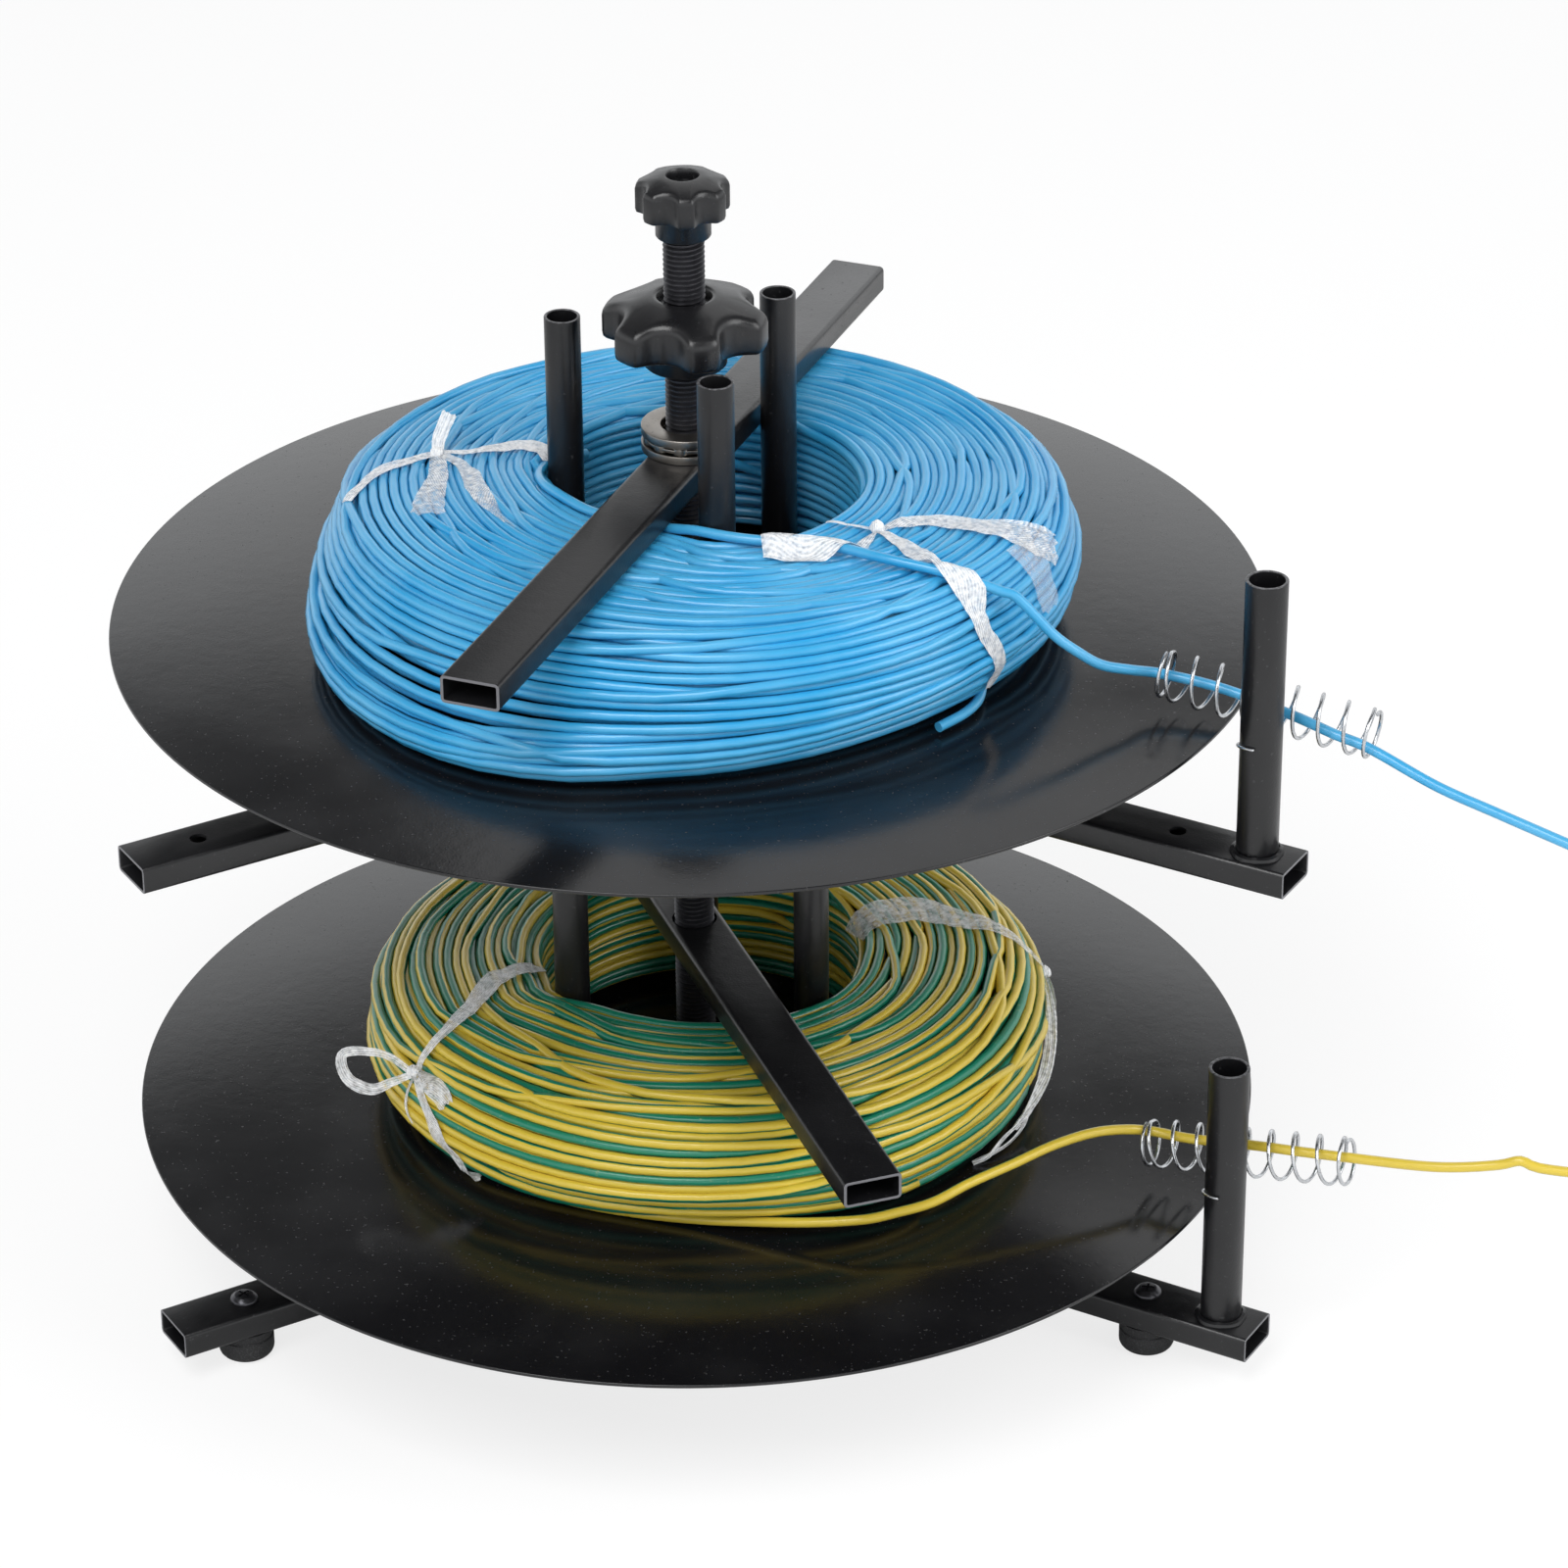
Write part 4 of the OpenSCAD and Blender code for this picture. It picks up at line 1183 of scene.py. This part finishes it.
class MakeTurntables(PieceOperator):
    """Makes both discs with their bosses and core posts"""

    bl_idname = "stand.turntables"
    bl_label = "Turntables"

    def build(self, context):
        for tier in ("lower", "upper"):
            body = tier + "_turntable"
            top = DISC_TOP[tier]
            sheet = turned([(9, -1.5), (DISC_R, -1.5), (DISC_R, 0), (9, 0)], 0.45, 256)
            # Marks the disc's outer edge for a faint grey painted highlight.
            worn = sheet.verts.layers.float.new("worn")
            for v in sheet.verts:
                v[worn] = 0.3 if v.co.xy.length > DISC_R - 0.3 else 0.0
            piece(sheet, tier + "_disc_sheet", body, "disc_paint", tier + "_disc", place=at(z=top))
            low = height_of(tier + "_disc_hub", 0) - height_of(tier + "_disc_hub", 1)
            hub = turned([(BORE_R, low), (19.5, low), (19.5, -4), (30, -4), (30, 0), (BORE_R, 0)], 0.5, 96, {2: 1.0})
            z = height_of(tier + "_disc_hub", 1)
            piece(hub, tier + "_disc_boss", body, "black_paint", tier + "_disc_hub", place=at(z=z))
            for i, letter in enumerate("abc"):
                node = tier + "_core_post_" + letter
                post = turned([(5.8, 0), (7, 0), (7, CORE_POST_H), (5.8, CORE_POST_H)], 0.3, 64)
                # Marks the open top of the post for a grey painted highlight on its lip.
                worn = post.verts.layers.float.new("worn")
                for v in post.verts:
                    v[worn] = 0.62 if v.co.z > CORE_POST_H - 0.25 else 0.0
                bead = weld_bead(ring_path(7.5, 0.4, 32, 0.2), 1.3, 5 + i)
                place = at(turn=CORE_AZ[tier] + 120 * i) @ at(CORE_R[tier], 0, top)
                piece(joined((post, place), (bead, place)), node + "_tube", body, "black_paint", node)


class MakeCoils(PieceOperator):
    """Winds both coils of wire"""

    bl_idname = "stand.coils"
    bl_label = "Coils"

    # Loose turns that lie across the others: share of the way from rim to bore, how far each swings towards the
    # rim at its peak, and the peak's azimuth.
    LOOSE = {
        "upper": [
            (0.03, 3, -130), (0.06, 4, -115), (0.08, 5, -150), (0.12, 6, -125), (0.15, 7, -140),
            (0.10, 6, 200), (0.17, 9, 250), (0.24, 10, 170), (0.31, 11, 100), (0.37, 12, 225),
            (0.43, 16, 20), (0.47, 13, 310), (0.50, 20, 14), (0.54, 12, 180), (0.58, 18, 28),
            (0.61, 8, 240), (0.66, 9, 8), (0.72, 8, 130), (0.86, 7, 90),
        ],
        "lower": [
            (0.09, 5, 230), (0.15, 8, 300), (0.21, 9, 190), (0.28, 10, 30), (0.34, 12, 150),
            (0.40, 12, 260), (0.45, 14, 340), (0.51, 12, 200), (0.57, 10, 20), (0.63, 9, 280),
            (0.70, 7, 120), (0.85, 6, 60),
        ],
    }

    # The cut end that sticks out from under the upper coil, above its disc.
    STUB = [
        (94, -107.5, 3.6), (98, -103.6, 3.7), (103, -98.5, 3.9), (107, -93, 4.2), (110, -86, 4.6), (111, -76, 5.5),
        (108, -64, 8),
    ]

    def build(self, context):
        wire_d = sizes().wire_d / MM
        for tier, finish, seed in (("upper", "blue_pvc", 11), ("lower", "earth_pvc", 23)):
            colour = COIL_NAME[tier]
            body = tier + "_turntable"
            inner, outer = [], []
            for i, (points, deep) in enumerate(wound_coil(tier, wire_d, self.LOOSE[tier], seed)):
                ring = len(points) == STATIONS
                stripe = twist_along(points, seed + i)
                if ring:
                    stripe -= math.remainder(stripe[-1] - stripe[0], math.tau) * np.linspace(0, 1, STATIONS)
                shape = wire([tuple(p) for p in points], wire_d / 2, 8, stripe, ring=ring)
                (inner if deep else outer).append((shape, at()))
            whole, leaves, stripe = free_wire(tier)
            outer.append((wire(whole, wire_d / 2, 12, stripe, keep=(0, leaves)), at()))
            if tier == "upper":
                stub = wire(smooth_path(self.STUB, 2), wire_d / 2, 12)
                outer.append((stub, at(z=DISC_TOP[tier])))
            piece(joined(*inner), colour + "_coil_inner_turns", body, finish, tier + "_coil_core", crease=60)
            piece(joined(*outer), colour + "_coil_outer_turns", body, finish, tier + "_coil_winding", crease=60)


# The way that a free strip of tape faces.
FREE_FACING = Vector((0, -0.9, 0.45))


class MakeTapes(PieceOperator):
    """Makes the plastic tapes that hold the coils"""

    bl_idname = "stand.tapes"
    bl_label = "Tapes"

    # Strips by their tape: points above the disc, widths from start to end, cover of the weave, how frayed the
    # end is, and whether the strip lies on the coil or stands free. Most points were worked out by a separate
    # script and then rounded and adjusted by hand.
    STRIPS = {
        "upper_tie_left": [
            ([(-97, 18, 57), (-96, 20, 64), (-92, 23, 73)], (4, 5.5, 6), 0.5, 1, False),
            ([(-98, 19, 56), (-109, 12, 57), (-120, 5, 54), (-129, -10, 50)], (4, 7, 4), 0.3, 0, True),
            ([(-95, 20, 56), (-80, 21, 57), (-70, 25, 56), (-60, 23, 56), (-53, 16, 55)], (2.5, 6, 9.5), 0.4, 0, True),
            ([(-97, 18, 57), (-96, 1, 57), (-97, -8, 56), (-98, -23, 56), (-98, -33, 56)], (6, 9, 13), 0.22, 6, True),
            ([(-95, 18, 55), (-87, 7, 55), (-80, -17, 56), (-73, -31, 57), (-67, -42, 57)], (4, 8, 4), 0.2, 5, True),
        ],
        "upper_tie_right": [
            ([(30, -68, 57), (44, -74, 57), (55, -74, 57), (64, -67, 60), (72, -51, 57)], (8, 9, 6, 3), 0.35, 3, True),
            ([(55, -45, 55), (63, -49, 57), (72, -50, 57)], (1.5, 2), 0.3, 0, True),
            ([(72, -51, 58), (85, -44, 57), (99, -44, 57), (113, -50, 57), (128, -50, 54), (140, -43, 46)],
             (4, 9, 13, 18), 0.28, 5, True),
            ([(124, -56, 54), (134, -62, 45), (138, -62, 30)], (18, 14), -0.12, 4, True),
            ([(73, -52, 58), (85, -67, 56), (94, -84, 58), (104, -93, 50), (111, -99, 41), (116, -95, 28),
              (116, -92, 19), (112, -90, 12)], (3, 8.5, 9, 8, 7, 5), 0.35, 1, True),
        ],
        "lower_tie_left": [
            ([(-62, -11, 55), (-72, -19, 57), (-81, -26, 56), (-88, -45, 56), (-96, -60, 56), (-109, -72, 43)],
             (7, 9, 6, 2.5), 0.3, 0, True),
            ([(-111, -72, 44), (-120, -70, 50), (-130, -68, 51), (-138, -69, 50), (-136, -72, 41), (-127, -74, 37),
              (-119, -74, 40), (-111, -73, 43)], (2.5, 3.5, 5, 2.5), 0.3, 0, False),
            ([(-109, -72, 43), (-105, -78, 43), (-100, -84, 42), (-96, -89, 39)], (4, 8, 8.5), 0.3, 2, True),
            ([(-109, -72, 41), (-105, -81, 33), (-99, -87, 25), (-93, -94, 18), (-86, -99, 9)],
             (3, 7, 4), 0.35, 3, True),
            ([(-111, -70, 40), (-113, -69, 28), (-110, -74, 22)], (1.5, 1.5), 0.3, 1, True),
        ],
        "lower_tie_right": [
            ([(66, 19, 50), (70, 22, 55), (79, 26, 56), (90, 28, 57), (102, 23, 57), (114, 17, 56), (125, 13, 54),
              (141, 10, 38)], (19, 18, 14, 8, 3), 0.12, 0, True),
            ([(141, 10, 38), (143, -2, 36), (143, -17, 33), (142, -31, 28), (139, -42, 20), (133, -52, 12),
              (127, -60, 8)], (2.5, 4.5, 5, 2), 0.35, 0, False),
            ([(129, -58, 9), (122, -66, 7), (116, -73, 3), (110, -75, 1)], (1.2, 1.6), 0.4, 0, False),
            ([(133, -50, 13), (131, -54, 6), (123, -65, 3), (110, -74, 1)], (1.2, 1.2), 0.4, 0, False),
        ],
    }
    KNOTS = {
        "upper_tie_left": (-97, 18, 57), "upper_tie_right": (72, -51, 57.5), "lower_tie_left": (-110, -72, 42.5),
        "lower_tie_right": (141, 10, 37),
    }
    ACROSS = 8

    def build(self, context):
        for node, strips in self.STRIPS.items():
            tier = node.split("_")[0]
            shape = bmesh.new()
            shape.from_mesh(bpy.data.objects[COIL_NAME[tier] + "_coil_outer_turns"].data)
            coil = BVHTree.FromBMesh(shape)
            shape.free()
            parts = [(self.strip(coil, tier, i, *facts), at()) for i, facts in enumerate(strips)]
            parts.append((self.knot(self.KNOTS[node], len(node)), at(z=DISC_TOP[tier])))
            piece(joined(*parts), node + "_tape", tier + "_turntable", "tie_tape", node, crease=60)

    def drape(self, coil, tier, spots):
        """Lays rows of points on the coil: each row rests on the highest turns near it."""
        ring = (COIL_BORE[tier] + COIL_RIM[tier]) / 2
        spots = spots - np.array((COIL_X, 0, DISC_TOP[tier]))
        level = np.hypot(spots[..., 0], spots[..., 1])
        flat = spots[..., :2] / level[..., None] * ring
        centre = np.concatenate([flat, np.full((*level.shape, 1), CORE_Z)], axis=-1)
        out = spots - centre
        reach = np.linalg.norm(out, axis=-1)
        out /= reach[..., None]
        base = centre + np.array((COIL_X, 0, DISC_TOP[tier]))
        for place in np.ndindex(reach.shape):
            start = Vector(base[place] + out[place] * 70) * MM
            hit = coil.ray_cast(start, Vector(-out[place]), 0.07)[3]
            if hit is not None:
                reach[place] = 70 - hit / MM
        rows, across = reach.shape
        for size, join in ((2, np.max), (2, np.mean)):
            wide = np.pad(reach, ((size, size), (1, 1)), mode="edge")
            near = [wide[i : i + rows, j : j + across] for i in range(2 * size + 1) for j in range(3)]
            reach = join(near, axis=0)
        return base + out * (reach + 0.25)[..., None]

    def strip(self, coil, tier, seed, points, widths, cover, fray, lies):
        path = [Vector(p) + Vector((0, 0, DISC_TOP[tier])) for p in smooth_path(points, 1.5)]
        rows = len(path)
        spots = np.zeros((rows, self.ACROSS + 1, 3))
        for i, spot in enumerate(path):
            forward = (path[min(i + 1, rows - 1)] - path[max(i - 1, 0)]).normalized()
            out = FREE_FACING
            if lies:
                flat = Vector((spot.x - COIL_X, spot.y, 0))
                core = flat.normalized() * (COIL_BORE[tier] + COIL_RIM[tier]) / 2
                out = flat - core + Vector((0, 0, spot.z - DISC_TOP[tier] - CORE_Z))
            side = forward.cross(out).normalized()
            lift = side.cross(forward).normalized()
            share = i / (rows - 1)
            width = np.interp(share, np.linspace(0, 1, len(widths)), widths)
            for j in range(self.ACROSS + 1):
                s = j / self.ACROSS - 0.5
                ragged = max(share - 0.6, 0) / 0.4 * fray * noise.noise(Vector((s * 9, seed * 3.1, 0)))
                edge = 1 + 0.12 * noise.noise(Vector((i * 0.3, math.copysign(5, s), seed)))
                crease = 0 if lies else 1.2 * noise.noise(Vector((s * 4, i * 0.08, seed)))
                spots[i, j] = spot + side * (s * width * edge) + forward * ragged + lift * crease
        if lies:
            spots = self.drape(coil, tier, spots)
        bm = bmesh.new()
        bmesh.ops.create_grid(bm, x_segments=rows - 1, y_segments=self.ACROSS, size=0.5)
        fibre = bm.verts.layers.float.new("fibre")
        weave = bm.verts.layers.float.new("cover")
        for v in bm.verts:
            i, j = round((v.co.x + 0.5) * (rows - 1)), round((v.co.y + 0.5) * self.ACROSS)
            share = i / (rows - 1)
            v[fibre] = (v.co.y + seed) * np.interp(share, np.linspace(0, 1, len(widths)), widths) / 10
            v[weave] = cover - max(share - 0.5, 0) * 0.08 * fray
            v.co = spots[i, j]
        bmesh.ops.recalc_face_normals(bm, faces=bm.faces)
        bmesh.ops.solidify(bm, geom=bm.faces[:], thickness=0.14)
        return bm

    def knot(self, spot, seed):
        bm = bmesh.new()
        bmesh.ops.create_icosphere(bm, subdivisions=3, radius=2.6)
        cover = bm.verts.layers.float.new("cover")
        fibre = bm.verts.layers.float.new("fibre")
        for v in bm.verts:
            v[cover] = 0.7
            v[fibre] = v.co.x / 10
            v.co *= 1 + 0.4 * noise.noise(v.co * 0.6 + Vector((seed, 0, 0)))
            v.co += Vector(spot) + Vector((0, 0, 1.5))
        return bm


class MakeBars(PieceOperator):
    """Makes the press bars"""

    bl_idname = "stand.bars"
    bl_label = "Press bars"

    def build(self, context):
        for tier in ("lower", "upper"):
            node = tier + "_press_bar"
            tube = square_tube(BAR_SHIFT - BAR_LENGTH / 2, BAR_SHIFT + BAR_LENGTH / 2)
            drill = turned([(0, -9), (9, -9), (9, 9), (0, 9)], 0, 64, closed=False)
            z = (height_of(node, 0) + height_of(node, 1)) / 2
            place = at(z=z, turn=BAR_AZ[tier])
            piece(carved(tube, drill), node + "_tube", tier + "_bar", "black_paint", node, place=place)


class MakeKnobs(PieceOperator):
    """Makes the star knobs and the small top knob, with their threaded bushes"""

    bl_idname = "stand.knobs"
    bl_label = "Knobs"

    def build(self, context):
        for tier in ("lower", "upper"):
            node = tier + "_star_knob"
            place = at(z=height_of(node, 0), turn=14)
            piece(self.star(), tier + "_star_handle", tier + "_knob", "knob_plastic", node, place=place, crease=50)
            self.bush(tier + "_knob_insert", tier + "_insert", 10.4)
        place = at(z=height_of("top_knob", 0), turn=-8.2)
        piece(self.small(), "top_handle", "small_knob", "knob_plastic", "top_knob", place=place, crease=50)
        self.bush("top_knob_insert", "top_insert", 9.2)

    def bush(self, node, body, radius):
        z, h = height_of(node, 0), height_of(node, 1) - height_of(node, 0)
        shape = turned([(BORE_R, 0), (radius, 0), (radius, h), (BORE_R, h)], 0.4, 64)
        piece(shape, node + "_bush", body, "zinc_steel", node, place=at(z=z))

    def outline(self, d, lobes, scallop, reach, blur):
        """Plan of a knob as radii at 180 even angles, softened where lobes meet scallops."""
        count = 180
        radii = []
        for i in range(count):
            a = (i * lobes / count) % 1.0 - 0.5
            swing = math.radians(a * 360 / lobes)
            reach_in = scallop**2 - (reach * math.sin(swing)) ** 2
            near = reach * math.cos(swing) - math.sqrt(reach_in) if reach_in > 0 else d
            radii.append(min(d / 2, near))
        for _ in range(blur):
            radii = [(radii[i - 1] + 2 * radii[i] + radii[(i + 1) % count]) / 4 for i in range(count)]
        return np.array(radii)

    def rings(self, radii, lobes, stations):
        """Rings from (inset, height, roundness) stations: roundness 1 is a plain circle of radius inset."""
        count = len(radii)
        a = np.arange(count) * math.tau / count + math.pi / lobes
        plan = np.stack([radii * np.cos(a), radii * np.sin(a)], axis=-1)
        run = np.roll(plan, -1, axis=0) - np.roll(plan, 1, axis=0)
        out = np.stack([run[:, 1], -run[:, 0]], axis=-1) / np.linalg.norm(run, axis=1)[:, None]
        circle = np.stack([np.cos(a), np.sin(a)], axis=-1)
        rings = []
        for inset, z, roundness in stations:
            flat = circle * inset if roundness == 1 else plan - out * inset
            height = z(flat) if callable(z) else np.full(count, float(z))
            rings.append([Vector((x, y, h)) for (x, y), h in zip(flat, height)])
        return rings

    def star(self):
        def dome(drop):
            return lambda flat: 29.5 - 70 + np.sqrt(4900 - (flat**2).sum(axis=1)) - drop

        radii = self.outline(64, 6, 11, 35.4, 3)
        stations = [
            (10.46, 0.4, 1), (10.9, 0, 1), (15.2, 0, 1), (16, 0.8, 1), (16, 7.6, 1), (16.5, 8.7, 1), (17.3, 9, 1),
            (3.2, 9, 0), (1.2, 9.3, 0), (0.3, 10.2, 0), (0, 11.8, 0), (0, dome(3.2), 0), (0.35, dome(1.7), 0),
            (1.1, dome(0.7), 0), (2.2, dome(0.15), 0), (3.6, dome(0), 0), (20.3, dome(0), 1), (15, dome(0), 1),
            (12.4, dome(0), 1), (11.2, dome(0.2), 1), (10.5, dome(0.9), 1), (10.46, 16, 1),
        ]
        return lofted(self.rings(radii, 6, stations))

    def small(self):
        def dome(drop):
            return lambda flat: 25 - 40 + np.sqrt(1600 - (flat**2).sum(axis=1)) - drop

        radii = self.outline(36, 7, 6.5, 21.5, 1)
        stations = [
            (9.26, 0.3, 1), (9.6, 0, 1), (10.2, 0, 1), (10.6, 0.5, 1), (10.6, 7.8, 1), (11, 8.7, 1), (11.6, 9, 1),
            (1.6, 9, 0), (0.4, 9.5, 0), (0, 10.8, 0), (0, dome(2), 0), (0.35, dome(0.9), 0), (1.0, dome(0.2), 0),
            (1.9, dome(0), 0), (10.5, dome(0), 1), (7.2, dome(0), 1), (6.4, dome(0.2), 1), (6, dome(0.9), 1),
            (6, 20.1, 1), (5.4, 20, 1), (2, 20, 1), (0, 20, 1), (0, 16.4, 1), (9.2, 16.4, 1), (9.26, 16, 1),
        ]
        return lofted(self.rings(radii, 7, stations))


class StandPanel(bpy.types.Panel):
    """Lists the stand's sizes, colours and pieces."""

    bl_idname = "VIEW3D_PT_stand"
    bl_label = "Wire pay-off stand"
    bl_space_type = "VIEW_3D"
    bl_region_type = "UI"
    bl_category = "Stand"

    def draw(self, context):
        for group in (context.scene.stand_sizes, context.scene.stand_colours):
            for prop in group.bl_rna.properties:
                if not prop.is_readonly and prop.identifier != "name":
                    self.layout.prop(group, prop.identifier)
        for operator in OPERATORS:
            self.layout.operator(operator.bl_idname)


OPERATORS = (
    MakeFinishes, MakeStage, MakePayoffWires, MakeArms, MakeFeet, MakeSpindle, MakeBearings, MakeGuides, MakeTurntables,
    MakeCoils, MakeTapes, MakeBars, MakeKnobs,
)


def register():
    for group in (StandColours, StandSizes, *OPERATORS, StandPanel):
        bpy.utils.register_class(group)
    bpy.types.Scene.stand_colours = bpy.props.PointerProperty(type=StandColours)
    bpy.types.Scene.stand_sizes = bpy.props.PointerProperty(type=StandSizes)


def unregister():
    del bpy.types.Scene.stand_sizes
    del bpy.types.Scene.stand_colours
    for group in reversed((StandColours, StandSizes, *OPERATORS, StandPanel)):
        bpy.utils.unregister_class(group)


def main():
    register()
    for operator in OPERATORS:
        space, name = operator.bl_idname.split(".")
        getattr(getattr(bpy.ops, space), name)()


if __name__ == "__main__":
    main()
